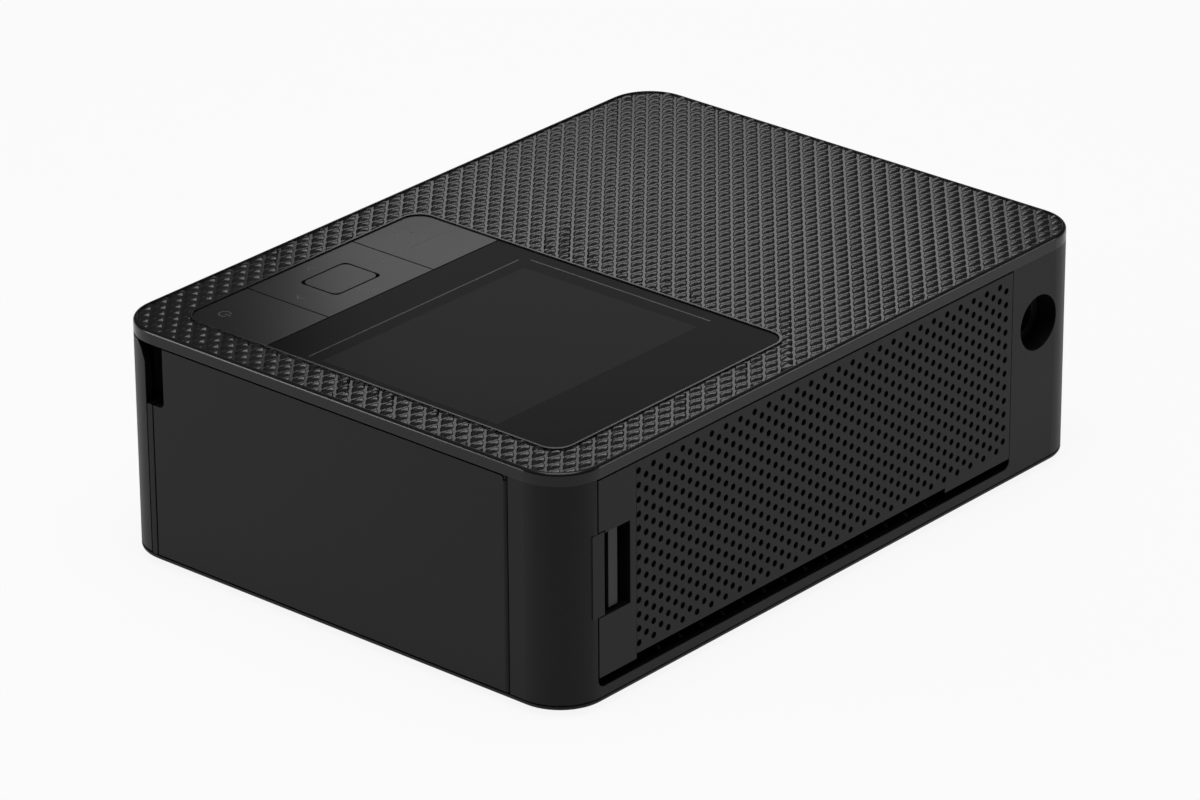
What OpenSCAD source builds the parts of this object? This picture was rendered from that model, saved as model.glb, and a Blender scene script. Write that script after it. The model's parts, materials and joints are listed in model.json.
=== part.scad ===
// Compact photo printer: case, doors, control panel and the print mechanism inside.
// X runs across the case, Y towards the rear, Z up; the feet stand on Z = 0 under the case's centre.

/* [Case] */
// Width of the case
case_w = 182.2; // [178:0.1:188]
// Depth of the case
case_d = 133; // [130:0.1:137]
// Height over the feet
case_h = 57.6; // [57:0.1:61]
// Plan radius of the vertical corners
corner_r = 11.4; // [10:0.1:13]
// Thickness of the moulded walls
wall = 2; // [1.8:0.1:2.2]
// Width of the visible seams
seam = 0.4; // [0.3:0.05:0.5]
// Height of the rubber feet
foot_h = 1.5; // [1:0.1:2.5]
// Radius of the rubber feet
foot_r = 5; // [4:0.1:7]
// Distance of the feet from the case's sides
foot_inset = 15; // [13:0.5:18]
// Height of the base plate's visible edge
base_edge_h = 1; // [0.9:0.1:1.2]
// Height of the step that centres the shell on the base plate
base_step_h = 1; // [0.8:0.1:1.2]
// Rounding of the base plate's lower edge
base_edge_r = 0.7; // [0.3:0.05:0.8]
// Distance from the case's outside to the inner frame
frame_inset = 3.6; // [3.5:0.05:4]
// Thickness of the inner frame
frame_t = 1.8; // [1.5:0.1:2.2]

/* [Top cover] */
// Height of the top cover's side band
cover_band = 3.1; // [2.9:0.1:3.4]
// Thickness of the top cover's plate
cover_t = 2; // [1.8:0.1:2.2]
// Rounding of the top cover's rim
rim_r = 0.8; // [0.4:0.05:1]
// Width of the plain rim round the embossed field
rim_w = 0.9; // [0.8:0.05:2]
// Depth of the embossed field below the rim
field_d = 0.35; // [0.2:0.05:0.5]
// Smooth land between the embossed field and the panel
panel_land = 0.5; // [0.4:0.05:0.8]
// Width of a snap hook
hook_w = 8; // [5:0.5:12]
// Length of a snap hook below the cover
hook_l = 5; // [3:0.5:7]
// Thickness of a snap hook
hook_t = 1.2; // [1:0.1:1.5]

/* [Control panel] */
// Gap from the case's right side to the panel
panel_side = 11.2; // [10:0.1:14]
// Gap from the case's front to the panel
panel_front = 11.3; // [10.5:0.1:13]
// Width of the panel
panel_w = 77.1; // [75:0.1:79]
// Gap from the panel to the case's rear
panel_rear = 11.5; // [10.5:0.1:15]
// Corner radius of the panel
panel_r = 4.75; // [3:0.05:6]
// Thickness of the glass
glass_t = 1.7; // [1.5:0.1:1.9]
// Depth of the key row
key_row_d = 25.2; // [23:0.1:27]
// Width of the menu rocker
menu_w = 22.2; // [20:0.1:24]
// Width of the power key
power_w = 20.3; // [18:0.1:22]
// Gap round each key
key_gap = 0.15; // [0.12:0.01:0.2]
// Thickness of the key caps
key_t = 1.15; // [1:0.05:1.3]
// Width of the middle key
ok_w = 14.4; // [13:0.1:15.5]
// Depth of the middle key
ok_d = 10.7; // [9.5:0.1:11.5]
// Corner radius of the middle key
ok_r = 2; // [1:0.1:3]
// Gap round the middle key
ok_gap = 0.4; // [0.3:0.05:0.5]
// Thickness of the carrier below the glass
carrier_t = 1.6; // [1.4:0.1:1.7]
// Margin of the carrier round the panel's opening
carrier_margin = 3.3; // [2.5:0.1:3.6]
// Radius of the key stems
stem_r = 2; // [1.5:0.1:2.3]
// Radius of the small stems under the rocker
rocker_stem_r = 1.2; // [1:0.1:1.4]
// Distance of the small stems from the rocker's axis
rocker_stem_y = 8; // [7:0.1:9]
// Travel of the power and middle keys
key_travel = 0.5; // [0.4:0.05:0.5]
// Height of a key's snap dome
dome_h = 0.55; // [0.5:0.01:0.6]
// Radius of a key's snap dome
dome_r = 2.2; // [2:0.1:2.6]
// Radius of the tilting keys' pins
tilt_pin_r = 0.5; // [0.4:0.05:0.6]
// Outer radius of the tilting ring
ring_ro = 9; // [8.8:0.1:9.4]
// Inner radius of the tilting ring
ring_ri = 7.2; // [7:0.1:7.4]
// Thickness of the tilting ring
ring_t = 1.5; // [1.4:0.1:1.6]
// Width of the display module
lcd_w = 71.2; // [69:0.1:72]
// Depth of the display module
lcd_d = 56.5; // [54:0.1:58]
// Thickness of the display module
lcd_t = 3; // [2.5:0.1:3.1]
// Gap from the panel's right side to the display module
lcd_side = 0.3; // [0.2:0.1:1]
// Gap from the key row to the display module
lcd_front = 12; // [10:0.1:14]
// Thickness of the circuit boards
pcb_t = 1.6; // [1.2:0.1:1.7]

/* [Rear wall] */
// Distance from the case's right side to the rear opening
rear_right = 10.6; // [10.3:0.1:12]
// Distance from the case's left side to the rear opening
rear_left = 27.3; // [26:0.1:28]
// Width of the plain end panel
end_panel_w = 12.2; // [11.8:0.1:12.6]
// Height of the paper slot's lower edge over the base plate
slot_lip = 3.6; // [3.2:0.1:3.8]
// Height of the paper slot
slot_h = 3.6; // [3.3:0.1:3.8]
// Length of the paper slot's full-height part
slot_w = 107.6; // [104:0.1:109]
// Drop of the panels' lower edge beside the slot
slot_step = 1.2; // [0.8:0.1:1.5]
// Radius of the perforations
hole_r = 0.775; // [0.6:0.025:0.85]
// Spacing of the columns of perforations
hole_dx = 2.42; // [2.3:0.02:2.6]
// Spacing of the perforations in a column
hole_dz = 3.41; // [3.3:0.01:3.42]
// Number of columns of perforations
hole_cols = 54; // [40:1:54]
// Number of perforations in a full column
hole_rows = 13; // [10:1:13]
// Depth of a blind perforation
dimple_d = 0.7; // [0.4:0.1:1.2]
// Side of the field in which the perforations go through
vent_w = 53; // [40:1:56]
// Radius of the power inlet
inlet_r = 6.7; // [5.5:0.1:7]
// Depth of the power inlet's recess
inlet_d = 5.5; // [4:0.1:6]
// Distance of the power inlet from the case's left side
inlet_side = 17.5; // [16:0.1:18.5]
// Height of the power inlet over the feet's ground
inlet_z = 38.3; // [36:0.1:40]
// Width of the terminal recess
term_w = 8.1; // [7:0.1:8.4]
// Height of the terminal recess
term_h = 19.6; // [18:0.1:20]
// Height of the terminal recess's lower edge
term_z = 21.7; // [20:0.1:24]
// Depth of the terminal recess
term_d = 7; // [5:0.1:8]
// Width of the terminal blade
blade_w = 2.9; // [2:0.1:3]

/* [Doors] */
// Distance from the front to where the front door ends on the sides
front_wrap = 9.8; // [9.6:0.1:10.2]
// Width of the pillar between the doors
pillar_w = 1.5; // [1.2:0.1:1.8]
// Width of the gap in front of the ink door's rear pillar, from the case's rear
ink_rear = 16; // [14:0.1:17]
// Radius of the front door's hinge barrel
barrel_r = 1.6; // [1.5:0.05:1.7]
// Radius of the front door's hinge pins
hinge_pin_r = 0.7; // [0.6:0.05:0.8]
// Distance of the front hinges from the case's middle
hinge_x = 68; // [60:1:72]
// Width of a front hinge knuckle
knuckle_w = 6; // [5:0.5:8]
// Radius of the ink door's pins
door_pin_r = 0.7; // [0.6:0.05:0.75]
// Depth of the finger notch along the side
notch_w = 5; // [4.8:0.1:6]
// Height of the finger notch
notch_h = 14.8; // [12:0.1:16]
// Radial clearance of running pins and shafts
run = 0.05; // [0.03:0.01:0.08]

/* [Paper path] */
// Distance of the paper path's middle from the case's middle
path_x = 14; // [13:0.1:15]
// Width between the chassis plates
path_w = 112; // [111:0.1:113]
// Thickness of the chassis plates
plate_t = 1.2; // [1:0.1:1.4]
// Length of the rollers' rubber
roller_l = 102; // [98:0.5:104]
// Height of the paper bay's mouth over the base plate
bay_h = 23.5; // [22:0.5:25]
// Radius of the platen roller
platen_r = 6; // [5.5:0.1:6]
// Position of the platen roller, along Y
platen_y = 12; // [11.5:0.1:12.5]
// Height of the print line
print_z = 17; // [17:0.1:17.3]
// Radius of the capstan and the pinch roller
capstan_r = 3.2; // [3:0.1:3.3]
// Distance from the platen roller to the capstan
capstan_dy = 17; // [16.8:0.1:17.2]
// Gap for the paper between the capstan and the pinch roller
nip = 0.3; // [0.25:0.05:0.4]
// Radius of the roller shafts
shaft_r = 2; // [1.8:0.05:2.2]
// Radius of the pickup wheels
pickup_r = 6; // [5:0.1:6.2]
// Width of a pickup wheel
pickup_w = 8; // [6:0.5:10]
// Distance between the pickup wheels' middles
pickup_gap = 24; // [20:0.5:30]

/* [Gears] */
// Module of the gears
gear_m = 0.8; // [0.8:0.01:0.81]
// Face width of the gears
gear_w = 4; // [3:0.1:4.5]
// Gap from the chassis plate to the gears
gear_gap = 1.8; // [1.6:0.1:2.2]
// Tangential backlash of a gear pair
backlash = 0.2; // [0.16:0.01:0.24]
// Radius of the motors
motor_r = 12; // [10:0.1:12.1]
// Length of the feed motor
motor_l = 17; // [14:0.5:18]

/* [Ink cassette] */
// Distance between the spools
spool_dy = 42; // [41:0.1:43]
// Height of the spools over the feet's ground
spool_z = 34.5; // [34.4:0.1:34.8]
// Outer radius of the cassette's tubes
tube_r = 10; // [9.5:0.1:10]
// Thickness of the cassette's walls
tube_t = 1; // [0.8:0.1:1.2]
// Radius of the full film roll
film_r = 8; // [7:0.1:8.2]
// Radius of the wound film roll
wound_r = 5.5; // [4.5:0.1:6]
// Radius of the spool cores
core_r = 4; // [3.5:0.1:4.2]
// Radius of the spools' hubs
hub_r = 3; // [2.5:0.1:3.2]
// Thickness of the film sheet
film_t = 0.15; // [0.12:0.01:0.18]
// Length of the cassette's handle
handle_l = 14; // [12:0.5:14.5]

/* [Fan] */
// Side of the fan's frame
fan_s = 34; // [30:0.5:35]
// Depth of the fan's frame
fan_d = 8.5; // [7:0.5:9]
// Number of fan blades
fan_blades = 7; // [5:1:9]

/* [Hidden] */
$fn = 48;

case_black = [0.045, 0.045, 0.047];
glass_black = [0.012, 0.012, 0.014];
key_black = [0.03, 0.03, 0.032];
rubber_black = [0.06, 0.06, 0.06];
steel = [0.62, 0.63, 0.64];
board_green = [0.05, 0.26, 0.14];
gear_white = [0.82, 0.81, 0.76];

// Case: planes and corners
hw = case_w / 2;
hd = case_d / 2;
base_z = foot_h;
edge_z = base_z + base_edge_h;
floor_z = edge_z + base_step_h;
cover_z = case_h - cover_band;
plate_z = case_h - cover_t;
carrier_z = plate_z - carrier_t;
door_z1 = cover_z - seam;
frame_in = frame_inset + frame_t;
shell_gap = 0.3;
post_r = 3.2;
post_bore_r = 1.2;
post_sink = 0.2;
screw_l = 8;
screw_head_r = 2.4;
screw_head_h = 0.9;
screw_slot_w = 0.6;

// Pins of the ink door
ink_axis = [hw - wall / 2, hd - ink_rear - seam / 2 - wall / 2];
ink_z0 = edge_z + seam;
pillar_y0 = -hd + front_wrap + seam;
pillar_y1 = pillar_y0 + pillar_w;
ink_y0 = pillar_y1 + seam;
ink_open_y1 = hd - ink_rear + seam / 2;
ink_pin_up = 2;
ink_pin_down = 1.05;
pin_end_gap = 0.15;

// Hinge of the front door
front_axis = [-hd + barrel_r, edge_z + seam + barrel_r + 0.1];
barrel_x = hw - corner_r - 0.5;
front_pin_l = knuckle_w + 8;
rib_w = 1.2;
ink_rib_h = 0.9;
notch_z0 = cover_z - notch_h;
notch_depth = 4.5;
notch_r = 1.5;

// Control panel: the opening, the three keys in front of the glass, and the heights below them
panel_d = case_d - panel_front - panel_rear;
panel_x1 = hw - panel_side;
panel_x0 = panel_x1 - panel_w;
panel_y0 = -hd + panel_front;
panel_y1 = panel_y0 + panel_d;
panel_c = [(panel_x0 + panel_x1) / 2, (panel_y0 + panel_y1) / 2];
key_y1 = panel_y0 + key_row_d;
key_y = (panel_y0 + key_y1) / 2;
menu_x1 = panel_x0 + menu_w;
power_x0 = panel_x1 - power_w;
nav_x = (menu_x1 + power_x0) / 2;
menu_x = (panel_x0 + menu_x1) / 2;
power_x = (power_x0 + panel_x1) / 2;
cap_z = plate_z + key_travel + 0.05;
stem_z = carrier_z - 0.85;
dome_z = stem_z - key_travel - 0.02 - dome_h;
board_z = dome_z - pcb_t;
tilt_z = carrier_z - 0.65;
stem_clear = 0.3;
pocket_z = cap_z - key_travel - 0.3;
pocket_r = 1.4;
lug_in = 5.4;
lug_t = 1.4;
lug_w = 2.6;
ear_t = 1.4;
ear_d = 3.2;
ear_drop = 1.3;
ring_ear_x = ring_ro + 2.2;
rocker_ear_x = 5.2;
rocker_bar = [6, 2.4, 0.9];
lcd_x1 = panel_x1 - lcd_side;
lcd_y0 = key_y1 + lcd_front;

// Rear wall
rear_x0 = -hw + rear_left;
rear_x1 = hw - rear_right;
slot_z0 = base_z + slot_lip;
slot_z1 = slot_z0 + slot_h;
slot_x0 = path_x - slot_w / 2;
grille_x0 = rear_x0 + seam / 2;
end_x1 = rear_x1 - seam;
end_x0 = end_x1 - end_panel_w;
grille_x1 = end_x0 - 0.1;
hole_x0 = grille_x1 - 0.75;
hole_z1 = cover_z - 2.6;
vent_x = path_x + 3.5;
vent_z0 = slot_z1 + 3.4;
vent_z1 = cover_z - 5.5;
inlet_x = -hw + inlet_side;
term_x0 = end_x0 + 2;
term_tab = 1.8;
jack_s = 16;
jack_l = 14;
jack_bore_r = 4.7;
jack_pin_r = 0.9;
inner_y1 = hd - wall;

// Paper path and chassis
path_x0 = path_x - path_w / 2;
path_x1 = path_x + path_w / 2;
roller_x0 = path_x - roller_l / 2;
roller_x1 = path_x + roller_l / 2;
platen = [platen_y, print_z - platen_r];
capstan_at = [platen_y + capstan_dy, print_z - capstan_r];
pinch_at = [capstan_at[0], print_z + nip + capstan_r];
pinch_r = 1.5;
bush_t = 1.5;
flange = 0.8;
shaft_over = 1.3;
axle_x0 = path_x0 - plate_t - gear_gap - gear_w - 1;
chassis_y0 = -33;
chassis_y1 = hd - 16.5;
chassis_z1 = 48.4;
head_at = [-26, 44];
head_tilt_r = 3.6;

// Gear train; every gear stands in the plane left of the chassis
pinion_n = 12;
platen_n = 16;
capstan_n = 14;
idler_n = 16;
pickup_idler_n = 24;
pickup_n = 16;
takeup_n = 24;
stud_r = 1.5;
gear_x1 = path_x0 - plate_t - gear_gap;
gear_x0 = gear_x1 - gear_w;
bracket_x1 = gear_x0 - 2.4;
bracket_x0 = bracket_x1 - plate_t;
feed_angle = 150;
pickup_idler_angle = 175;
pickup_angle = 172;
ribbon_angle = 20;

function pitch_r(n) = gear_m * n / 2;
function polar(c, r, a) = [c[0] + r * cos(a), c[1] + r * sin(a)];
function angle_to(p, q) = atan2(q[1] - p[1], q[0] - p[0]);
function gap_to(p, q) = norm([q[0] - p[0], q[1] - p[1]]);
// The point at distance a from p and b from q, on the left of the way from p to q
function meet(p, q, a, b) =
    let (d = gap_to(p, q), along = (a * a - b * b + d * d) / (2 * d))
    polar(polar(p, along, angle_to(p, q)), sqrt(a * a - along * along), angle_to(p, q) + 90);
// Tooth angle of a gear at q with nq teeth that meshes with one at p with np teeth turned to tp
function mesh(p, np, tp, q, nq) =
    let (b = angle_to(p, q)) b + 180 - (np / nq) * (tp - b) - 180 / nq;

idler_at = meet(platen, capstan_at, pitch_r(platen_n + idler_n), pitch_r(capstan_n + idler_n));
pinion_at = polar(platen, pitch_r(platen_n + pinion_n), feed_angle);
pickup_idler_at = polar(pinion_at, pitch_r(pinion_n + pickup_idler_n), pickup_idler_angle);
pickup_at = polar(pickup_idler_at, pitch_r(pickup_idler_n + pickup_n), pickup_angle);
supply_at = [platen_y - spool_dy / 2, spool_z];
takeup_at = [platen_y + spool_dy / 2, spool_z];
ribbon_pinion_at = polar(takeup_at, pitch_r(takeup_n + pinion_n), ribbon_angle);

platen_turn = 90;
idler_turn = mesh(platen, platen_n, platen_turn, idler_at, idler_n);
capstan_turn = mesh(idler_at, idler_n, idler_turn, capstan_at, capstan_n);
pinion_turn = mesh(platen, platen_n, platen_turn, pinion_at, pinion_n);
pickup_idler_turn = mesh(pinion_at, pinion_n, pinion_turn, pickup_idler_at, pickup_idler_n);
pickup_turn = mesh(pickup_idler_at, pickup_idler_n, pickup_idler_turn, pickup_at, pickup_n);
takeup_turn = 0;
ribbon_turn = mesh(takeup_at, takeup_n, takeup_turn, ribbon_pinion_at, pinion_n);

// Ink cassette
cas_x0 = path_x0 + 2;
cas_end_t = 1.2;
cas_x1 = path_x1 - 2;
handle_x1 = min(cas_x1 + handle_l, hw - wall - ink_rib_h - 1);
spool_x0 = cas_x0 + cas_end_t + 0.3;
spool_x1 = cas_x1 - cas_end_t - 0.3;
drive_key = [1.1, 5, 1.2];
drive_x = path_x0 + 0.4;
head_w = 6.8;
head_y0 = platen_y - head_w / 2;
ribbon_z = print_z + nip;
film_half = head_w / 2 + 0.4;
head_z0 = ribbon_z + film_t + 0.1;

// Fan
fan_x = vent_x;
fan_z = (vent_z0 + vent_z1) / 2;
fan_bore = fan_s / 2 - 0.8;
fan_hub = 7;
fan_tip_gap = 0.7;

// ---- Shared shapes ----

// Rectangle with round corners about the origin
module round_rect(w, d, r) {
    square([w - 2 * r, d], center = true);
    square([w, d - 2 * r], center = true);
    for (x = [-1, 1], y = [-1, 1]) translate([x * (w / 2 - r), y * (d / 2 - r)]) circle(r);
}

// Plan of the case, moved in by a distance
module outline(inset) { round_rect(case_w - 2 * inset, case_d - 2 * inset, corner_r - inset); }

// Box between two corners
module block(a, b) { translate(a) cube(b - a); }

// Rectangle between two corners
module patch(a, b) { translate(a) square(b - a); }

// Rod along X through a point [y, z]
module rod(r, x0, x1, at) { translate([x0, at[0], at[1]]) rotate([0, 90, 0]) cylinder(r = r, h = x1 - x0); }

// A shape drawn in Y and Z, drawn out along X
module along_x(x0, x1) { translate([x0, 0, 0]) rotate([90, 0, 90]) linear_extrude(x1 - x0) children(); }

// A shape drawn in X and Z, drawn out along Y
module along_y(y0, y1) { translate([0, y1, 0]) rotate([90, 0, 0]) linear_extrude(y1 - y0) children(); }

// Profile of a slab's edge: upright outside, rounded at the top
module edge_profile(r, h, f) {
    square([r, h - f]);
    square([r - f, h]);
    intersection() {
        translate([r - f, h - f]) circle(f);
        square([r, h]);
    }
}

// Case outline drawn up to a height, with a rounded top edge
module soft_slab(inset, h, f) {
    r = corner_r - inset;
    cx = hw - corner_r;
    cy = hd - corner_r;
    translate([-cx, -cy, 0]) cube([2 * cx, 2 * cy, h]);
    for (q = [[cx, cy, 0], [-cx, cy, 90], [-cx, -cy, 180], [cx, -cy, 270]])
        translate([q[0], q[1], 0]) rotate([0, 0, q[2]]) rotate_extrude(angle = 90) edge_profile(r, h, f);
    for (s = [0, 180]) {
        rotate([0, 0, s]) translate([cx, cy, 0]) rotate([90, 0, 0])
            linear_extrude(2 * cy) edge_profile(r, h, f);
        rotate([0, 0, s]) translate([-cx, cy, 0]) rotate([90, 0, 90])
            linear_extrude(2 * cx) edge_profile(r, h, f);
    }
}

// Outline of an involute gear about the origin, with a tooth at the angle turn
module gear_shape(n, turn) {
    rp = pitch_r(n);
    rb = rp * cos(20);
    ra = rp + 0.65 * gear_m;
    rf = rp - 0.95 * gear_m;
    half = 90 / n - backlash / 4 / rp * 180 / PI;
    function roll(r) = sqrt(max(0, pow(r / rb, 2) - 1));
    function inv(r) = roll(r) * 180 / PI - atan(roll(r));
    function flank(r) = half + inv(rp) - inv(max(r, rb));
    low = max(rf, rb);
    radii = [rf, low, low + (ra - low) * 0.35, low + (ra - low) * 0.7, ra];
    polygon([
        for (i = [0 : n - 1], s = [-1, 1], k = [0 : 4])
            let (r = radii[s < 0 ? k : 4 - k]) polar([0, 0], r, turn + i * 360 / n + s * flank(r))
    ]);
}

// Gear in the train's plane, with a bore
module spur(n, turn, at, bore) {
    along_x(gear_x0, gear_x1) translate(at) difference() {
        gear_shape(n, turn);
        circle(bore);
    }
}

// ---- Case ----

right_posts = [for (y = [pillar_y1 + 5.5, ink_open_y1 - 3]) [hw - frame_in - post_r + post_sink, y]];
left_posts = [for (y = [pillar_y1 + 5.5, hd - 10]) [-hw + wall + post_r - post_sink, y]];
posts = concat(right_posts, left_posts);

module base_tray() color(case_black) {
    difference() {
        union() {
            translate([0, 0, edge_z]) mirror([0, 0, 1]) soft_slab(0, base_edge_h, base_edge_r);
            translate([0, 0, edge_z]) linear_extrude(base_step_h) outline(frame_inset);
            for (s = [-1, 1]) {
                rod(barrel_r, s * hinge_x - knuckle_w / 2, s * hinge_x + knuckle_w / 2, front_axis);
                block([s * hinge_x - knuckle_w / 2, -hd + 0.4, edge_z - base_edge_h / 2],
                      [s * hinge_x + knuckle_w / 2, -hd + 2 * barrel_r - 0.6, front_axis[1]]);
            }
        }
        for (s = [-1, 1])
            rod(hinge_pin_r + run, s * hinge_x - knuckle_w, s * hinge_x + knuckle_w, front_axis);
        for (p = posts) translate([p[0], p[1], base_z - 1]) {
            cylinder(r = post_bore_r + 0.2, h = floor_z);
            cylinder(r = screw_head_r + 0.2, h = 1 + screw_head_h);
        }
        translate([ink_axis[0], ink_axis[1], edge_z - base_edge_h + pin_end_gap])
            cylinder(r = door_pin_r + run, h = base_edge_h);
    }
    // Rails that guide the paper cassette, and seats for the boards
    for (x = [path_x0 - 3, path_x1 + 1.6])
        block([x, -hd + frame_in + 1, floor_z], [x + 1.4, chassis_y0 - 1, floor_z + 9]);
    for (p = power_posts) translate([p[0], p[1], floor_z]) cylinder(r = 2.2, h = power_z - floor_z);
    for (p = front_posts) translate([p[0], p[1], floor_z]) cylinder(r = 2.5, h = front_z - floor_z);
}

module feet() color(rubber_black)
    for (x = [-1, 1], y = [-1, 1])
        translate([x * (hw - foot_inset), y * (hd - foot_inset), 0]) cylinder(r = foot_r, h = foot_h);

module base_screws() color(steel)
    for (p = posts) translate([p[0], p[1], base_z]) difference() {
        union() {
            cylinder(r = screw_head_r, h = screw_head_h);
            cylinder(r = post_bore_r, h = screw_l);
        }
        for (a = [0, 90]) rotate([0, 0, a])
            translate([-screw_head_r * 0.7, -screw_slot_w / 2, -1])
                cube([screw_head_r * 1.4, screw_slot_w, 1 + screw_head_h * 0.6]);
    }

module body_shell() color(case_black) difference() {
    union() {
        // Outer wall, open where the doors are
        translate([0, 0, edge_z + shell_gap]) linear_extrude(cover_z - edge_z - shell_gap) difference() {
            outline(0);
            outline(wall);
            patch([-case_w, -case_d], [case_w, pillar_y0]);
            patch([hw - corner_r, -case_d], [case_w, ink_open_y1]);
        }
        // Strips that meet the inner frame
        translate([0, 0, floor_z]) linear_extrude(cover_z - floor_z) {
            patch([-hw, pillar_y0], [-hw + frame_inset, pillar_y1]);
            patch([hw - frame_inset, ink_open_y1], [hw, ink_open_y1 + wall]);
        }
        for (p = left_posts) translate([p[0], p[1], floor_z]) cylinder(r = post_r, h = carrier_z - floor_z);
        // Collar of the power inlet, and board seats on the left wall
        translate([inlet_x, hd - inlet_d, inlet_z]) rotate([-90, 0, 0])
            cylinder(r = inlet_r + 1.6, h = inlet_d - wall / 2);
        for (p = board_posts) rod(2, -hw + wall / 2, board_x0, p);
        // Tab beside the terminal recess
        block([end_x1 - term_tab, inner_y1, term_z + 0.3], [end_x1 + wall, hd, term_z + term_h + 0.4]);
    }
    // Rear opening, with the paper slot's round ends below
    along_y(inner_y1 - 0.5, hd + 1) difference() {
        union() {
            patch([rear_x0, slot_z0 + 2], [rear_x1, case_h]);
            patch([rear_x0 + 2, slot_z0], [rear_x1 - 2, case_h]);
            for (x = [rear_x0 + 2, rear_x1 - 2]) translate([x, slot_z0 + 2]) circle(2);
        }
        patch([end_x1 - term_tab, term_z + 0.3], [case_w, term_z + term_h + 0.4]);
    }
    translate([inlet_x, hd - inlet_d - 1, inlet_z]) rotate([-90, 0, 0])
        cylinder(r = inlet_r, h = inlet_d + 2);
    finger_notches();
    for (p = left_posts) translate([p[0], p[1], 0]) cylinder(r = post_bore_r, h = floor_z + 12);
}

// Frame behind the doors, with the mouths of the paper bay, the ink cassette and the sockets
module inner_frame() color(case_black) difference() {
    union() {
        translate([0, 0, floor_z]) linear_extrude(cover_z - floor_z) difference() {
            outline(frame_inset);
            outline(frame_in);
            patch([-case_w, pillar_y1], [hw - corner_r, case_d]);
            patch([-case_w, ink_open_y1 + wall], [case_w, case_d]);
        }
        // Pillar between the doors
        translate([0, 0, edge_z + shell_gap]) linear_extrude(cover_z - edge_z - shell_gap)
            patch([hw - wall, pillar_y0], [hw, pillar_y1]);
        translate([0, 0, floor_z]) linear_extrude(cover_z - floor_z)
            patch([hw - frame_in, pillar_y0], [hw, pillar_y1]);
        // Thicker round the finger notches
        for (s = [-1, 1]) {
            x0 = s > 0 ? hw - frame_in - 0.8 : -hw + notch_depth;
            x1 = s > 0 ? hw - frame_inset : -hw + frame_in + 0.8;
            block([x0, pillar_y0, notch_z0 - 1.5], [x1, ink_y0 + notch_w, cover_z]);
        }
        for (p = right_posts) translate([p[0], p[1], floor_z]) cylinder(r = post_r, h = carrier_z - floor_z);
    }
    along_y(-hd, -hd + frame_in + 1) {
        patch([path_x0, 0], [path_x1, floor_z + bay_h]);
        translate([card_x, card_z]) square([card_w - 1, 2.8], center = true);
        translate([usb_x, usb_z]) square([usb_w + 0.6, usb_h + 0.6], center = true);
    }
    along_x(hw - frame_in - 1, hw) translate([platen_y, spool_z])
        round_rect(spool_dy + 2 * tube_r + 2.4, 2 * tube_r + 3, 2);
    finger_notches();
    for (p = right_posts) translate([p[0], p[1], 0]) cylinder(r = post_bore_r, h = floor_z + 12);
    for (p = left_posts) translate([p[0], p[1], 0]) cylinder(r = post_r, h = case_h);
    // Slot for the ink door's latch tongue
    block([hw - frame_in - 0.1, pillar_y1 + 1.6, latch_z - 3.5],
          [hw - wall, pillar_y1 + 4.6, latch_z + 3.5]);
}

module finger_notches()
    for (s = [-1, 1]) along_x(s > 0 ? hw - notch_depth : -hw - 1, s > 0 ? hw + 1 : -hw + notch_depth)
        notch_shape(pillar_y0 - 1, ink_y0 + notch_w - pin_end_gap * 2);

latch_z = 20;

// Side view of a finger notch, open at the top
module notch_shape(y0, y1) {
    patch([y0, notch_z0], [y1 - notch_r, case_h]);
    patch([y0, notch_z0 + notch_r], [y1, case_h]);
    translate([y1 - notch_r, notch_z0 + notch_r]) circle(notch_r);
}

module top_cover() color(case_black) {
    difference() {
        translate([0, 0, cover_z]) soft_slab(0, cover_band, rim_r);
        translate([0, 0, cover_z - 1]) linear_extrude(cover_band - cover_t + 1) outline(wall);
        translate([panel_c[0], panel_c[1], 0]) linear_extrude(case_h + 1)
            round_rect(panel_w, panel_d, panel_r);
        // Bed of the embossed field, with a smooth land round the panel
        translate([0, 0, case_h - field_d]) linear_extrude(1) difference() {
            outline(rim_w);
            translate(panel_c) round_rect(panel_w + 2 * panel_land, panel_d + 2 * panel_land, panel_r);
        }
        translate([ink_axis[0], ink_axis[1], cover_z - 1])
            cylinder(r = door_pin_r + run, h = 1 + ink_pin_up - seam + pin_end_gap);
    }
    // Snap hooks along the left wall and the rear corners
    for (y = [-40, 0, 40])
        block([-hw + wall + 0.15, y - hook_w / 2, cover_z - hook_l],
              [-hw + wall + 0.15 + hook_t, y + hook_w / 2, plate_z]);
}

// ---- Control panel ----

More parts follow.
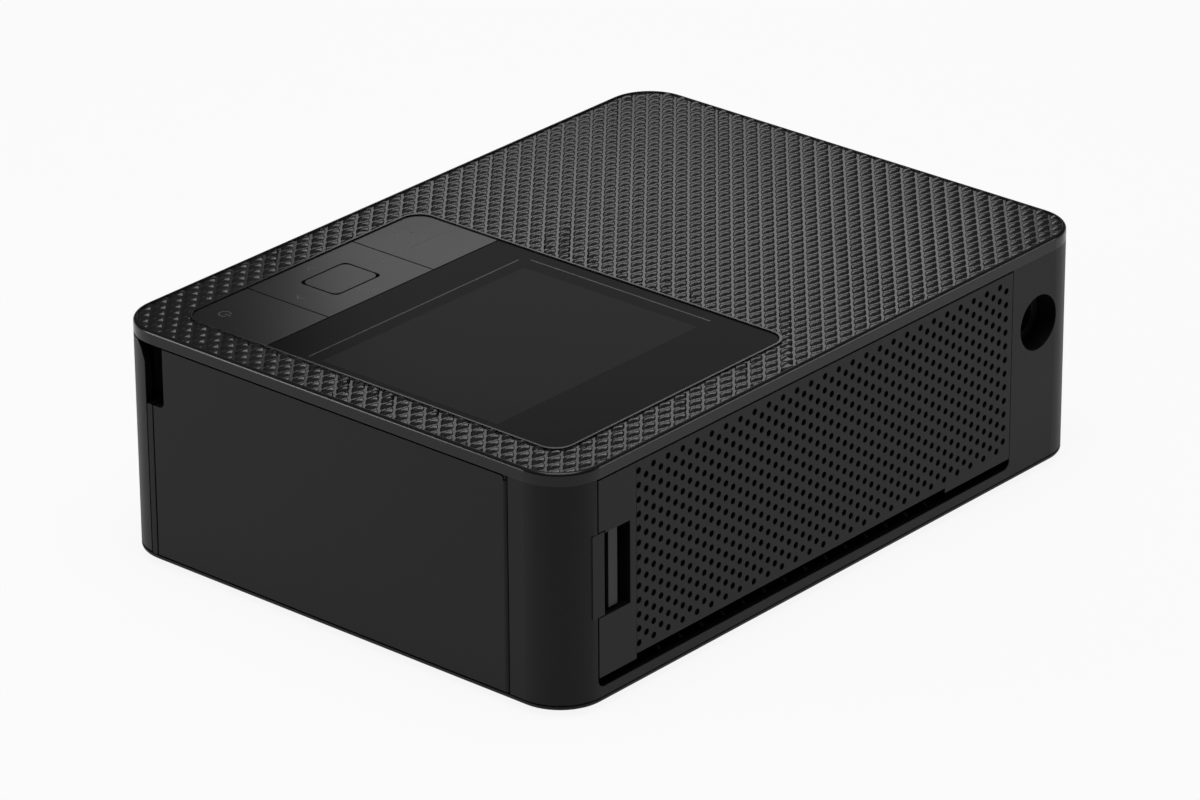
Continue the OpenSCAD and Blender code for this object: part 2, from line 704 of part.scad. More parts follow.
module panel_carrier() color(case_black) difference() {
    union() {
        translate([panel_c[0], panel_c[1], carrier_z]) linear_extrude(carrier_t)
            round_rect(panel_w + 2 * carrier_margin, panel_d + 2 * carrier_margin, panel_r);
        // Ears that carry the tilting ring and the rocker
        for (s = [-1, 1]) {
            ear(nav_x + s * ring_ear_x);
            ear(menu_x + s * rocker_ear_x);
        }
    }
    translate([nav_x, key_y, carrier_z - 1]) cylinder(r = ring_ro + 0.9, h = carrier_t + 2);
    translate([power_x, key_y, carrier_z - 1]) cylinder(r = stem_r + stem_clear, h = carrier_t + 2);
    for (s = [-1, 1]) translate([menu_x, key_y + s * rocker_stem_y, carrier_z - 1])
        cylinder(r = rocker_stem_r + stem_clear, h = carrier_t + 2);
    block([menu_x - rocker_bar[0] / 2 - 0.7, key_y - rocker_bar[1] / 2 - 0.8, carrier_z - 1],
          [menu_x + rocker_bar[0] / 2 + 0.7, key_y + rocker_bar[1] / 2 + 0.8, plate_z + 1]);
    for (s = [-1, 1], x = [nav_x + s * ring_ear_x, menu_x + s * rocker_ear_x])
        rod(tilt_pin_r + run, x - ear_t, x + ear_t, [key_y, tilt_z]);
    translate([lcd_x1 - lcd_w - key_gap, lcd_y0 - key_gap, carrier_z - 1])
        cube([lcd_w + 2 * key_gap, lcd_d + 2 * key_gap, carrier_t + 2]);
}

// Ear below the carrier with its middle at x
module ear(x) {
    block([x - ear_t / 2, key_y - ear_d / 2, carrier_z - ear_drop],
          [x + ear_t / 2, key_y + ear_d / 2, carrier_z + 0.2]);
}

// Plan of the panel's opening, drawn in by the key gap
module panel_plan() {
    translate(panel_c) round_rect(panel_w - 2 * key_gap, panel_d - 2 * key_gap, panel_r - key_gap);
}

module display_glass() color(glass_black)
    translate([0, 0, plate_z]) linear_extrude(glass_t) intersection() {
        panel_plan();
        patch([panel_x0, key_y1 + key_gap], [panel_x1, panel_y1]);
    }

module lcd_module() color([0.1, 0.1, 0.12])
    translate([lcd_x1 - lcd_w, lcd_y0, plate_z - lcd_t]) cube([lcd_w, lcd_d, lcd_t]);

module control_board() color(board_green) {
    x0 = panel_x0 + 0.5;
    difference() {
        translate([x0, panel_y0 - 1, board_z]) cube([panel_w - 1, panel_d + 1, pcb_t]);
        for (y = [panel_y0 + 4, panel_y1 - 5], x = [x0 + 4, x0 + panel_w - 5])
            translate([x, y, board_z - 1]) cylinder(r = 1.2, h = pcb_t + 2);
    }
    // Spacers up to the carrier
    for (y = [panel_y0 + 1.5, panel_y1 - 2], x = [x0 + 1.5, x0 + panel_w - 2.5])
        translate([x, y, board_z + pcb_t]) cylinder(r = 1.2, h = carrier_z - board_z - pcb_t);
    translate([x0 + 20, panel_y1 - 16, board_z + pcb_t]) cube([14, 6, carrier_z - board_z - pcb_t - 0.4]);
}

module key_domes() color(steel)
    for (p = [[power_x, 0], [nav_x, 0], [menu_x, -rocker_stem_y], [menu_x, rocker_stem_y]])
        translate([p[0], key_y + p[1], dome_z]) cylinder(r = dome_r, h = dome_h);

// Key cap between two sides, cut from the panel's plan
module key_cap(x0, x1) {
    translate([0, 0, cap_z]) linear_extrude(key_t) intersection() {
        panel_plan();
        patch([x0 + key_gap, panel_y0 - 1], [x1 - key_gap, key_y1 - key_gap]);
    }
}

module stem(x, y, r) { translate([x, y, stem_z]) cylinder(r = r, h = cap_z - stem_z + 0.2); }

module power_button() color(key_black) {
    key_cap(power_x0, panel_x1 + 1);
    stem(power_x, key_y, stem_r);
}

module nav_pad() color(key_black) difference() {
    union() {
        key_cap(menu_x1, power_x0);
        for (s = [-1, 1]) let (y = key_y + s * (lug_in + 0.6))
            block([nav_x - lug_w / 2, y - lug_t / 2, tilt_z - 1.1],
                  [nav_x + lug_w / 2, y + lug_t / 2, cap_z + 0.2]);
    }
    // Room for the middle key, also when it is pressed
    translate([nav_x, key_y, pocket_z]) linear_extrude(key_travel + key_t + 2)
        round_rect(ok_w + 2 * ok_gap, ok_d + 2 * ok_gap, pocket_r);
    translate([nav_x, key_y + 10, tilt_z]) rotate([90, 0, 0]) cylinder(r = tilt_pin_r + run, h = 20);
}

module nav_ring() color(steel) {
    translate([nav_x, key_y, tilt_z - ring_t / 2]) difference() {
        cylinder(r = ring_ro, h = ring_t);
        translate([0, 0, -1]) cylinder(r = ring_ri, h = ring_t + 2);
    }
    for (s = [-1, 1]) {
        rod(tilt_pin_r, nav_x + (s > 0 ? ring_ro - 0.4 : -ring_ear_x - 0.4),
            nav_x + (s > 0 ? ring_ear_x + 0.4 : -ring_ro + 0.4), [key_y, tilt_z]);
        translate([nav_x, key_y + (s > 0 ? ring_ri + 0.4 : -lug_in), tilt_z]) rotate([90, 0, 0])
            cylinder(r = tilt_pin_r, h = ring_ri + 0.4 - lug_in);
    }
}

module ok_button() color(key_black) {
    translate([nav_x, key_y, cap_z]) linear_extrude(key_t) round_rect(ok_w, ok_d, ok_r);
    stem(nav_x, key_y, stem_r);
}

module menu_rocker() color(key_black) {
    key_cap(panel_x0 - 1, menu_x1);
    for (s = [-1, 1]) stem(menu_x, key_y + s * rocker_stem_y, rocker_stem_r);
    block([menu_x - rocker_bar[0] / 2, key_y - rocker_bar[1] / 2, tilt_z - rocker_bar[2]],
          [menu_x + rocker_bar[0] / 2, key_y + rocker_bar[1] / 2, cap_z + 0.2]);
    rod(tilt_pin_r, menu_x - rocker_ear_x - 0.6, menu_x + rocker_ear_x + 0.6, [key_y, tilt_z]);
}

// ---- Rear wall ----

// Points of the perforations, every second column moved up half a step and one shorter
holes = [
    for (i = [0 : hole_cols - 1], j = [0 : hole_rows - 1 - i % 2])
        [hole_x0 - i * hole_dx, hole_z1 - (j + (i % 2) / 2) * hole_dz]
];
function in_vent(p) = abs(p[0] - vent_x) < vent_w / 2 && p[1] > vent_z0 && p[1] < vent_z1;

module grille_plan() {
    patch([grille_x0, slot_z1], [grille_x1, door_z1]);
    patch([grille_x0, slot_z1 - slot_step], [slot_x0, door_z1]);
}

module vent_grille() color(case_black) {
    along_y(inner_y1, hd - dimple_d) difference() {
        grille_plan();
        for (p = holes) if (in_vent(p)) translate(p) circle(hole_r);
    }
    along_y(hd - dimple_d, hd) difference() {
        grille_plan();
        for (p = holes) translate(p) circle(hole_r);
    }
}

module rear_end_panel() color(case_black) difference() {
    union() {
        along_y(inner_y1, hd) patch([end_x0, slot_z1 - slot_step], [end_x1, door_z1]);
        block([term_x0 - 1, hd - term_d - 1, term_z - 1],
              [end_x1 - term_tab - 0.1, hd - wall / 2, term_z + term_h + 1]);
    }
    block([term_x0, hd - term_d, term_z], [term_x0 + term_w, hd + 1, term_z + term_h]);
    block([end_x1 - term_tab - 0.3, inner_y1 - 1, term_z], [end_x1 + 1, hd + 1, term_z + term_h + 0.7]);
}

module battery_terminal() color(glass_black) {
    x = term_x0 + term_w / 2 + 0.5;
    block([x - blade_w / 2, hd - term_d, term_z + 0.8],
          [x + blade_w / 2, hd - 1, term_z + term_h - 0.6]);
}

module dc_jack() color(glass_black) {
    y1 = hd - inlet_d;
    difference() {
        block([inlet_x - jack_s / 2, y1 - jack_l, inlet_z - jack_s / 2],
              [inlet_x + jack_s / 2, y1, inlet_z + jack_s / 2]);
        translate([inlet_x, y1 - jack_l + 4, inlet_z]) rotate([-90, 0, 0])
            cylinder(r = jack_bore_r, h = jack_l - 3);
    }
    translate([inlet_x, y1 - jack_l + 3.5, inlet_z]) rotate([-90, 0, 0])
        cylinder(r = jack_pin_r, h = jack_l - 5);
}

// ---- Doors ----

module front_door() color(case_black) difference() {
    union() {
        // The panel and the two corner wraps
        difference() {
            translate([0, 0, front_axis[1] - barrel_r]) linear_extrude(door_z1 - front_axis[1] + barrel_r)
                difference() {
                    outline(0);
                    outline(wall);
                    patch([-case_w, -hd + front_wrap], [case_w, case_d]);
                }
            // Room to turn: the lower edge is round about the hinge
            difference() {
                block([-case_w, -case_d, 0], [case_w, front_axis[0], front_axis[1]]);
                rod(barrel_r, -case_w, case_w, front_axis);
            }
            // The side edges lean forward at the top, so that they clear the cover
            along_x(-case_w, case_w) polygon([
                [-hd + front_wrap + 1, door_z1 - 5], [-hd + front_wrap, door_z1 - 4.4],
                [-hd + front_wrap - 1.2, door_z1 - 1.6], [-hd + front_wrap - 3.5, door_z1 + 1],
                [-hd + front_wrap + 1, door_z1 + 1]
            ]);
        }
        rod(barrel_r, -barrel_x, barrel_x, front_axis);
        // Stiffening ribs on the inside
        for (x = [-60, -30, 0, 30, 60])
            block([x - rib_w / 2, -hd + wall - 0.2, front_axis[1] + 6],
                  [x + rib_w / 2, -hd + wall + 0.8, door_z1 - 4]);
        for (z = [front_axis[1] + 6, door_z1 - 5])
            block([-hinge_x - 2, -hd + wall - 0.2, z], [hinge_x + 2, -hd + wall + 0.8, z + rib_w]);
    }
    // Room for the knuckles, and the pins' holes
    for (s = [-1, 1]) {
        block([s * hinge_x - knuckle_w / 2 - seam, -case_d, 0],
              [s * hinge_x + knuckle_w / 2 + seam, -hd + 2 * barrel_r + 1, front_axis[1] + barrel_r + seam]);
        rod(hinge_pin_r, s * hinge_x - front_pin_l / 2, s * hinge_x + front_pin_l / 2, front_axis);
    }
}

module front_hinge_pins() color(steel)
    for (s = [-1, 1])
        rod(hinge_pin_r, s * hinge_x - front_pin_l / 2, s * hinge_x + front_pin_l / 2, front_axis);

module ink_door() color(case_black) {
    difference() {
        union() {
            block([hw - wall, ink_y0, ink_z0], [hw, ink_axis[1], door_z1]);
            // Ribs round the edge and across the inside
            for (y = [ink_y0 + notch_w + 1, 10, ink_axis[1] - 8])
                block([hw - wall - ink_rib_h, y, ink_z0 + 3], [hw - wall + 0.2, y + rib_w, door_z1 - 3]);
            for (z = [ink_z0 + 3, door_z1 - 3 - rib_w])
                block([hw - wall - ink_rib_h, ink_y0 + notch_w + 1, z],
                      [hw - wall + 0.2, ink_axis[1] - 7, z + rib_w]);
            // Latch tongue
            block([hw - frame_in + 0.2, pillar_y1 + 2.1, latch_z - 2.5],
                  [hw - wall / 2, pillar_y1 + 3.6, latch_z + 2.5]);
        }
        along_x(hw - wall - 3, hw + 1) {
            notch_shape(ink_y0 - 2, ink_y0 + notch_w - 1.7);
            difference() {
                patch([ink_axis[1] - 1, door_z1 - 2], [ink_axis[1] + 2, door_z1 + 1]);
                translate([ink_axis[1] - 1, door_z1 - 2]) circle(2);
            }
        }
    }
    translate([ink_axis[0], ink_axis[1], ink_z0]) cylinder(r = wall / 2, h = door_z1 - ink_z0 - 1);
    translate([ink_axis[0], ink_axis[1], ink_z0 - ink_pin_down])
        cylinder(r = door_pin_r, h = door_z1 - ink_z0 + ink_pin_down + ink_pin_up);
}

lever_at = [platen_y - spool_dy / 2 - tube_r - 7, spool_z];
lever_x0 = hw - frame_inset + 0.2;

module eject_lever() color([0.75, 0.75, 0.76]) difference() {
    along_x(lever_x0, lever_x0 + 1) {
        translate(lever_at) circle(3);
        translate([lever_at[0] - 1.5, lever_at[1] - 12]) square([3, 12]);
        translate([lever_at[0], lever_at[1] - 12]) circle(2.4);
        translate(lever_at) square([6, 2.4]);
    }
    rod(1.2 + run, lever_x0 - 1, lever_x0 + 2, lever_at);
}

// ---- Chassis and paper path ----

module plate_shape() {
    difference() {
        union() {
            patch([chassis_y0, floor_z], [chassis_y1, chassis_z1 - 4]);
            patch([chassis_y0 + 4, floor_z], [chassis_y1 - 4, chassis_z1]);
            for (y = [chassis_y0 + 4, chassis_y1 - 4]) translate([y, chassis_z1 - 4]) circle(4);
        }
        for (p = [platen, capstan_at, pickup_at]) translate(p) circle(shaft_r + bush_t);
        translate(pinch_at) circle(pinch_r + bush_t);
        translate(head_at) circle(shaft_r);
    }
}

module chassis() color(steel) {
    difference() {
        union() {
            along_x(path_x0 - plate_t, path_x0) plate_shape();
            along_x(path_x1, path_x1 + plate_t) plate_shape();
            // Floor and ties between the plates
            block([path_x0 - plate_t, -6, floor_z], [path_x1 + plate_t, chassis_y1, floor_z + plate_t]);
            block([path_x0 - plate_t, chassis_y0, 34], [path_x1 + plate_t, chassis_y0 + plate_t, 42]);
            block([path_x0 - plate_t, chassis_y1 - plate_t, 26], [path_x1 + plate_t, chassis_y1, 44]);
        }
        // Window in the right plate for the ink cassette
        along_x(path_x1 - 1, path_x1 + plate_t + 1) translate([platen_y, spool_z])
            round_rect(spool_dy + 2 * tube_r + 1.2, 2 * tube_r + 1.2, 2);
        along_x(path_x0 - plate_t - 1, path_x0 + 1) translate(takeup_at) circle(hub_r + bush_t);
        for (x = [path_x - 36, path_x - 12, path_x + 12, path_x + 36])
            translate([x, chassis_y1 - 8, floor_z - 1]) cylinder(r = 3, h = 4);
    }
}

// Flanged bush in a chassis plate; side is -1 for the left plate and 1 for the right one
module bush(at, r, side) {
    x0 = side < 0 ? path_x0 - plate_t : path_x1;
    difference() {
        union() {
            rod(r + bush_t, x0, x0 + plate_t, at);
            rod(r + bush_t + flange, side < 0 ? x0 - flange : x0 + plate_t,
                side < 0 ? x0 : x0 + plate_t + flange, at);
        }
        rod(r + run, x0 - 2, x0 + plate_t + 2, at);
    }
}

module shaft_bushes() color([0.72, 0.55, 0.3]) {
    for (side = [-1, 1]) {
        for (p = [platen, capstan_at, pickup_at]) bush(p, shaft_r, side);
        bush(pinch_at, pinch_r, side);
    }
    bush(takeup_at, hub_r, -1);
}

// Rod with journals that run in the bushes on both sides
module journals(r, at, left) { rod(r, left, path_x1 + plate_t + shaft_over, at); }

module platen_shaft() color(steel) journals(shaft_r, platen, axle_x0);

module platen_roller() color(rubber_black) difference() {
    rod(platen_r, roller_x0, roller_x1, platen);
    rod(shaft_r, roller_x0 - 1, roller_x1 + 1, platen);
}

module platen_gear() color(gear_white) spur(platen_n, platen_turn, platen, shaft_r);

module capstan() color(steel) {
    rod(capstan_r, roller_x0, roller_x1, capstan_at);
    journals(shaft_r, capstan_at, axle_x0);
}

module capstan_gear() color(gear_white) spur(capstan_n, capstan_turn, capstan_at, shaft_r);

module pinch_roller() color(steel) {
    rod(capstan_r, roller_x0, roller_x1, pinch_at);
    journals(pinch_r, pinch_at, path_x0 - plate_t - shaft_over);
}

module pickup_shaft() color(steel) journals(shaft_r, pickup_at, axle_x0);

module pickup_wheels() color(rubber_black) difference() {
    for (s = [-1, 1]) rod(pickup_r, path_x + s * pickup_gap / 2 - pickup_w / 2,
                          path_x + s * pickup_gap / 2 + pickup_w / 2, pickup_at);
    rod(shaft_r, roller_x0, roller_x1, pickup_at);
}

module pickup_gear() color(gear_white) spur(pickup_n, pickup_turn, pickup_at, shaft_r);

module feed_idler() color(gear_white) spur(idler_n, idler_turn, idler_at, stud_r + run);

module pickup_idler() color(gear_white)
    spur(pickup_idler_n, pickup_idler_turn, pickup_idler_at, stud_r + run);

bracket_posts = [[-28, 38], [22, 6.5], [14, 40]];
bracket_z1 = 44;

module gear_bracket() color(steel) {
    along_x(bracket_x0, bracket_x1) difference() {
        union() {
            patch([-31, 9], [26, bracket_z1]);
            patch([14, 5], [hd - 8.5, bracket_z1]);
        }
        translate(pinion_at) circle(3);
        translate(ribbon_pinion_at) circle(3);
        for (p = [platen, capstan_at, pickup_at]) translate(p) circle(shaft_r + 1);
    }
    for (p = bracket_posts) rod(2, bracket_x1 - 0.2, path_x0 - plate_t, p);
    // Studs that the two idlers turn on
    for (p = [idler_at, pickup_idler_at]) rod(stud_r, bracket_x1 - 0.2, path_x0 - plate_t, p);
}

// Motor left of the bracket, with a bore for its pinion's shaft
module motor(at, r, l) difference() {
    union() {
        rod(r, bracket_x0 - l, bracket_x0, at);
        rod(2.8, bracket_x0 - l - 1, bracket_x0 + plate_t, at);
    }
    rod(1 + run, bracket_x0 - 6, bracket_x1 + 1, at);
}

module feed_motor() color(steel) motor(pinion_at, motor_r, motor_l);

module ribbon_motor() color(steel) motor(ribbon_pinion_at, motor_r - 2, motor_l - 5);

module feed_pinion() color(gear_white) {
    spur(pinion_n, pinion_turn, pinion_at, 0.5);
    rod(1, bracket_x0 - 5, gear_x1, pinion_at);
}

module ribbon_pinion() color(gear_white) {
    spur(pinion_n, ribbon_turn, ribbon_pinion_at, 0.5);
    rod(1, bracket_x0 - 5, gear_x1, ribbon_pinion_at);
}

module takeup_drive() color(gear_white) {
    spur(takeup_n, takeup_turn, takeup_at, 0.5);
    rod(hub_r, gear_x0, drive_x, takeup_at);
    block([drive_x - 0.2, takeup_at[0] - drive_key[2] / 2, takeup_at[1] - drive_key[1] / 2],
          [drive_x + drive_key[0], takeup_at[0] + drive_key[2] / 2, takeup_at[1] + drive_key[1] / 2]);
}

// ---- Ink cassette ----

// Tube round one spool, open towards the print line; side is 1 for the front tube
module tube_shape(at, side) {
    difference() {
        translate(at) circle(tube_r);
        translate(at) circle(tube_r - tube_t);
        translate(at) polygon([[0, 0], [side * 16, -3], [side * 16, -20], [side * 2.5, -20]]);
    }
}

module cassette_shell() color([0.12, 0.12, 0.13]) {
    for (c = [[supply_at, 1], [takeup_at, -1]]) {
        along_x(cas_x0, cas_x1) tube_shape(c[0], c[1]);
        for (x = [cas_x0, cas_x1 - cas_end_t]) along_x(x, x + cas_end_t) translate(c[0]) difference() {
            circle(tube_r);
            circle(hub_r + run);
        }
    }
    // Handle block that joins the two tubes outside the chassis
    difference() {
        along_x(cas_x1, handle_x1) translate([platen_y, spool_z])
            round_rect(spool_dy + 2 * tube_r, 2 * tube_r, 4);
        along_x(cas_x1 + 3, handle_x1 + 1) for (s = [-1, 1])
            translate([platen_y + s * 13, spool_z]) round_rect(20, 2 * tube_r - 4, 2);
        for (p = [supply_at, takeup_at]) rod(hub_r + run, cas_x1 - 1, cas_x1 + 2.5, p);
    }
}

// Spool with its wound film and hubs
module spool(at, wound, left) {
    rod(wound, roller_x0 + 0.5, roller_x1 - 0.5, at);
    rod(core_r, spool_x0, spool_x1, at);
    rod(hub_r, left, cas_x1 + 1.5, at);
}

module supply_spool() color([0.2, 0.17, 0.1]) spool(supply_at, film_r, cas_x0);

module takeup_spool() color([0.2, 0.17, 0.1]) difference() {
    spool(takeup_at, wound_r, drive_x + 0.1);
    block([drive_x, takeup_at[0] - drive_key[2] / 2 - 0.3, takeup_at[1] - hub_r - 1],
          [drive_x + drive_key[0] + 0.3, takeup_at[0] + drive_key[2] / 2 + 0.3, takeup_at[1] + hub_r + 1]);
}

// Film from the supply roll under the print head to the wound roll
module ribbon() color([0.25, 0.2, 0.08]) {
    a = polar(supply_at, film_r + 0.2, -45);
    b = [platen_y - film_half, ribbon_z];
    c = [platen_y + film_half, ribbon_z];
    d = polar(takeup_at, wound_r + 0.2, 225);
    along_x(roller_x0 + 1, roller_x1 - 1) polygon([
        a, b, c, d, [d[0] - film_t, d[1] + film_t / 2], [c[0] - film_t / 2, c[1] + film_t],
        [b[0] + film_t / 2, b[1] + film_t], [a[0] + film_t, a[1] + film_t / 2]
    ]);
}

// ---- Print head ----

arm_z0 = spool_z + tube_r + 1.3;
arm_t = 1.2;

module head_pivot() color(steel) rod(shaft_r, path_x0 - plate_t - 0.5, path_x1 + plate_t + 0.5, head_at);

module head_arm() color(steel) difference() {
    union() {
        for (x = [roller_x0 + 2, roller_x1 - 12]) {
            rod(head_tilt_r, x, x + 10, head_at);
            block([x, head_at[0], arm_z0], [x + 10, platen_y + arm_t / 2, arm_z0 + arm_t]);
        }
        block([roller_x0 + 2, platen_y - arm_t / 2, head_z0 + 12],
              [roller_x1 - 2, platen_y + arm_t / 2, arm_z0 + arm_t]);
        block([roller_x0 + 2, head_at[0] + 8, arm_z0],
              [roller_x1 - 2, head_at[0] + 14, arm_z0 + arm_t]);
    }
    rod(shaft_r + run, path_x0, path_x1, head_at);
    for (x = [path_x - 30, path_x, path_x + 30])
        block([x - 10, platen_y - 2, head_z0 + 15], [x + 10, platen_y + 2, arm_z0 - 3]);
}

module head_heatsink() color([0.75, 0.76, 0.78]) {
    block([roller_x0, platen_y - 6, head_z0 + 3.6], [roller_x1, platen_y + 6, head_z0 + 6.6]);
    for (y = [-5.4, -2.9, 2.9, 5.4])
        block([roller_x0, platen_y + y - 0.6, head_z0 + 6.4],
              [roller_x1, platen_y + y + 0.6, head_z0 + 12.6]);
    block([roller_x0, platen_y - 0.6, head_z0 + 6.4], [roller_x1, platen_y + 0.6, head_z0 + 12]);
}

module print_head() color([0.85, 0.82, 0.75]) difference() {
    block([roller_x0, head_y0, head_z0], [roller_x1, head_y0 + head_w, head_z0 + 3.6]);
    block([roller_x0 - 1, head_y0 - 1, head_z0 - 1], [roller_x1 + 1, head_y0 + 1.4, head_z0 + 0.4]);
}

// ---- Paper guides and fan ----

guide_y0 = capstan_at[0] + capstan_r + 1.4;
guide_z0 = print_z - 1.6;
guide_y1 = hd - 9;
guide_t = 1.2;
rib_pitch = 7.19;
ribs = 14;

module paper_guide_lower() color(case_black) {
    z1 = slot_z0 - 0.3;
    along_x(path_x0, path_x1) polygon([
        [guide_y0, guide_z0], [guide_y1, z1], [inner_y1 - 0.2, z1], [inner_y1 - 0.2, z1 - guide_t],
        [guide_y1 - 0.4, z1 - guide_t], [guide_y0, guide_z0 - guide_t]
    ]);
    // Ribs that the paper slides on
    for (i = [0 : ribs - 1]) let (x = path_x - 3.2 + (i - ribs / 2 + 0.5) * rib_pitch)
        along_x(x - 0.4, x + 0.4) polygon([
            [guide_y0 + 2, guide_z0 - 1.4], [guide_y1, z1 + 0.9], [inner_y1 - 1, z1 + 0.9],
            [inner_y1 - 0.2, z1 + 0.2], [inner_y1 - 0.2, z1 - 0.2],
            [guide_y1, z1 - 0.4], [guide_y0 + 2, guide_z0 - 1.6]
        ]);
}

module paper_guide_upper() color(case_black) {
    z0 = guide_z0 + 2.6;
    z1 = slot_z1 + 0.1;
    along_x(path_x0, path_x1) polygon([
        [guide_y0, z0], [guide_y1 - 1, z1], [inner_y1 - 0.2, z1], [inner_y1 - 0.2, z1 + guide_t],
        [guide_y1 - 0.6, z1 + guide_t], [guide_y0, z0 + guide_t]
    ]);
}

module fan_frame() color(glass_black) {
    along_y(inner_y1 - fan_d, inner_y1) difference() {
        translate([fan_x, fan_z]) round_rect(fan_s, fan_s, 2);
        translate([fan_x, fan_z]) circle(fan_bore);
        for (x = [-1, 1], z = [-1, 1])
            translate([fan_x + x * (fan_s / 2 - 2.6), fan_z + z * (fan_s / 2 - 2.6)]) circle(1.1);
    }
    // Spider that carries the hub
    along_y(inner_y1 - fan_d, inner_y1 - fan_d + 1.2) {
        translate([fan_x, fan_z]) circle(fan_hub);
        for (a = [45 : 90 : 315])
            translate([fan_x, fan_z]) rotate(a) translate([0, -0.8]) square([fan_bore + 0.4, 1.6]);
    }
    translate([fan_x, inner_y1 - fan_d + 1, fan_z]) rotate([-90, 0, 0]) cylinder(r = 1, h = 4);
}

module fan_impeller() color([0.1, 0.1, 0.11]) {
    y0 = inner_y1 - fan_d + 1.5;
    l = fan_d - 2.3;
    translate([fan_x, y0, fan_z]) rotate([-90, 0, 0]) difference() {
        union() {
            cylinder(r = fan_hub - 0.3, h = l);
            for (i = [0 : fan_blades - 1]) rotate([0, 0, i * 360 / fan_blades])
                translate([fan_hub - 1, 0, l / 2]) rotate([35, 0, 0])
                    translate([0, -2.6, -0.45]) cube([fan_bore - fan_tip_gap - fan_hub + 0.4, 5.2, 0.9]);
        }
        translate([0, 0, -1]) cylinder(r = 1 + run, h = 4.8);
    }
}

// ---- Boards and sockets ----

board_x0 = -hw + wall + 2.4;
board_a = [-hd + 24.5, floor_z + 4.5];
board_b = [hd - 20.5, cover_z - 4.5];
board_posts = [for (y = [board_a[0] + 4, board_b[0] - 4], z = [board_a[1] + 4, board_b[1] - 8]) [y, z]];
power_at = [-hw + 9.1, hd - 45.5];
power_s = [29, 38];
power_z = 8;
power_posts = [for (x = [4, 24], y = [5, 33]) power_at + [x, y]];
front_z = 28.2;
front_x0 = -hw + 11.1;
front_s = [30, 24];
front_posts = [for (x = [4, 25]) [front_x0 + x, -hd + 26.5]];
card_x = front_x0 + 13.5;
card_w = 26;
card_z = front_z + pcb_t + 1.9;
usb_x = card_x;
usb_w = 12.4;
usb_h = 5;
usb_z = front_z - usb_h / 2;
front_in = -hd + frame_in;

// Processor, memory, connectors: place [Y, Z] on the board, size and height
chips = [
    [32, 14, 14, 14, 1.4], [52, 16, 9, 12, 1.1], [68, 12, 8, 8, 1.1],
    [12, 6, 5, 20, 4], [72, 28, 12, 5, 4]
];

module main_board() color(board_green) {
    along_x(board_x0, board_x0 + pcb_t) patch(board_a, board_b);
    for (c = chips) along_x(board_x0 + pcb_t, board_x0 + pcb_t + c[4])
        translate([board_a[0] + c[0], board_a[1] + c[1]]) square([c[2], c[3]]);
    for (y = [38, 46, 54])
        rod(2.5, board_x0 + pcb_t - 0.2, board_x0 + pcb_t + 6, [board_a[0] + y, board_b[1] - 7]);
}

module power_board() color(board_green) translate([power_at[0], power_at[1], power_z]) {
    cube([power_s[0], power_s[1], pcb_t]);
    for (x = [8, 16]) translate([x, 13, pcb_t]) cylinder(r = 3.5, h = 10);
    translate([2, 23, pcb_t]) cube([14, 10, 8]);
}

module front_board() color(board_green)
    translate([front_x0, front_in, front_z]) cube([front_s[0], front_s[1], pcb_t]);

module card_reader() color(steel) difference() {
    translate([card_x - card_w / 2, front_in, front_z + pcb_t]) cube([card_w, 22, 3.8]);
    translate([card_x - card_w / 2 + 0.6, front_in - 1, card_z - 1.3]) cube([card_w - 1.2, 21, 2.6]);
}

module usb_socket() color(steel) {
    difference() {
        block([usb_x - usb_w / 2, front_in, usb_z - usb_h / 2],
              [usb_x + usb_w / 2, front_in + 13, usb_z + usb_h / 2]);
        block([usb_x - usb_w / 2 + 0.4, front_in - 1, usb_z - usb_h / 2 + 0.4],
              [usb_x + usb_w / 2 - 0.4, front_in + 12, usb_z + usb_h / 2 - 0.4]);
    }
    block([usb_x - usb_w / 2 + 0.8, front_in + 1, usb_z + 0.2],
          [usb_x + usb_w / 2 - 0.8, front_in + 12.4, usb_z + 1.4]);
}

base_tray();
feet();
base_screws();
body_shell();
inner_frame();
top_cover();
panel_carrier();
display_glass();
lcd_module();
control_board();
key_domes();
power_button();
nav_pad();
nav_ring();
ok_button();
menu_rocker();
vent_grille();
rear_end_panel();
battery_terminal();
dc_jack();
front_door();
front_hinge_pins();
ink_door();
eject_lever();
chassis();
shaft_bushes();
platen_shaft();
platen_roller();
platen_gear();
capstan();
capstan_gear();
pinch_roller();
pickup_shaft();
pickup_wheels();
pickup_gear();
feed_idler();
pickup_idler();
gear_bracket();
feed_motor();
feed_pinion();
ribbon_motor();
ribbon_pinion();
takeup_drive();
cassette_shell();
supply_spool();
takeup_spool();
ribbon();
head_pivot();
head_arm();
head_heatsink();
print_head();
paper_guide_lower();
paper_guide_upper();
fan_frame();
fan_impeller();
main_board();
power_board();
front_board();
card_reader();
usb_socket();
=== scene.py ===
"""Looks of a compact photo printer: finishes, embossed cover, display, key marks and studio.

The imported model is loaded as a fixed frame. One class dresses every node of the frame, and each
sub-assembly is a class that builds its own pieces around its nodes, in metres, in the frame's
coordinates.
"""

from __future__ import annotations

import json
import logging
import math
from collections.abc import Callable, Iterable
from dataclasses import dataclass, field
from enum import Enum

import bmesh
import bpy
from mathutils import Matrix, Vector

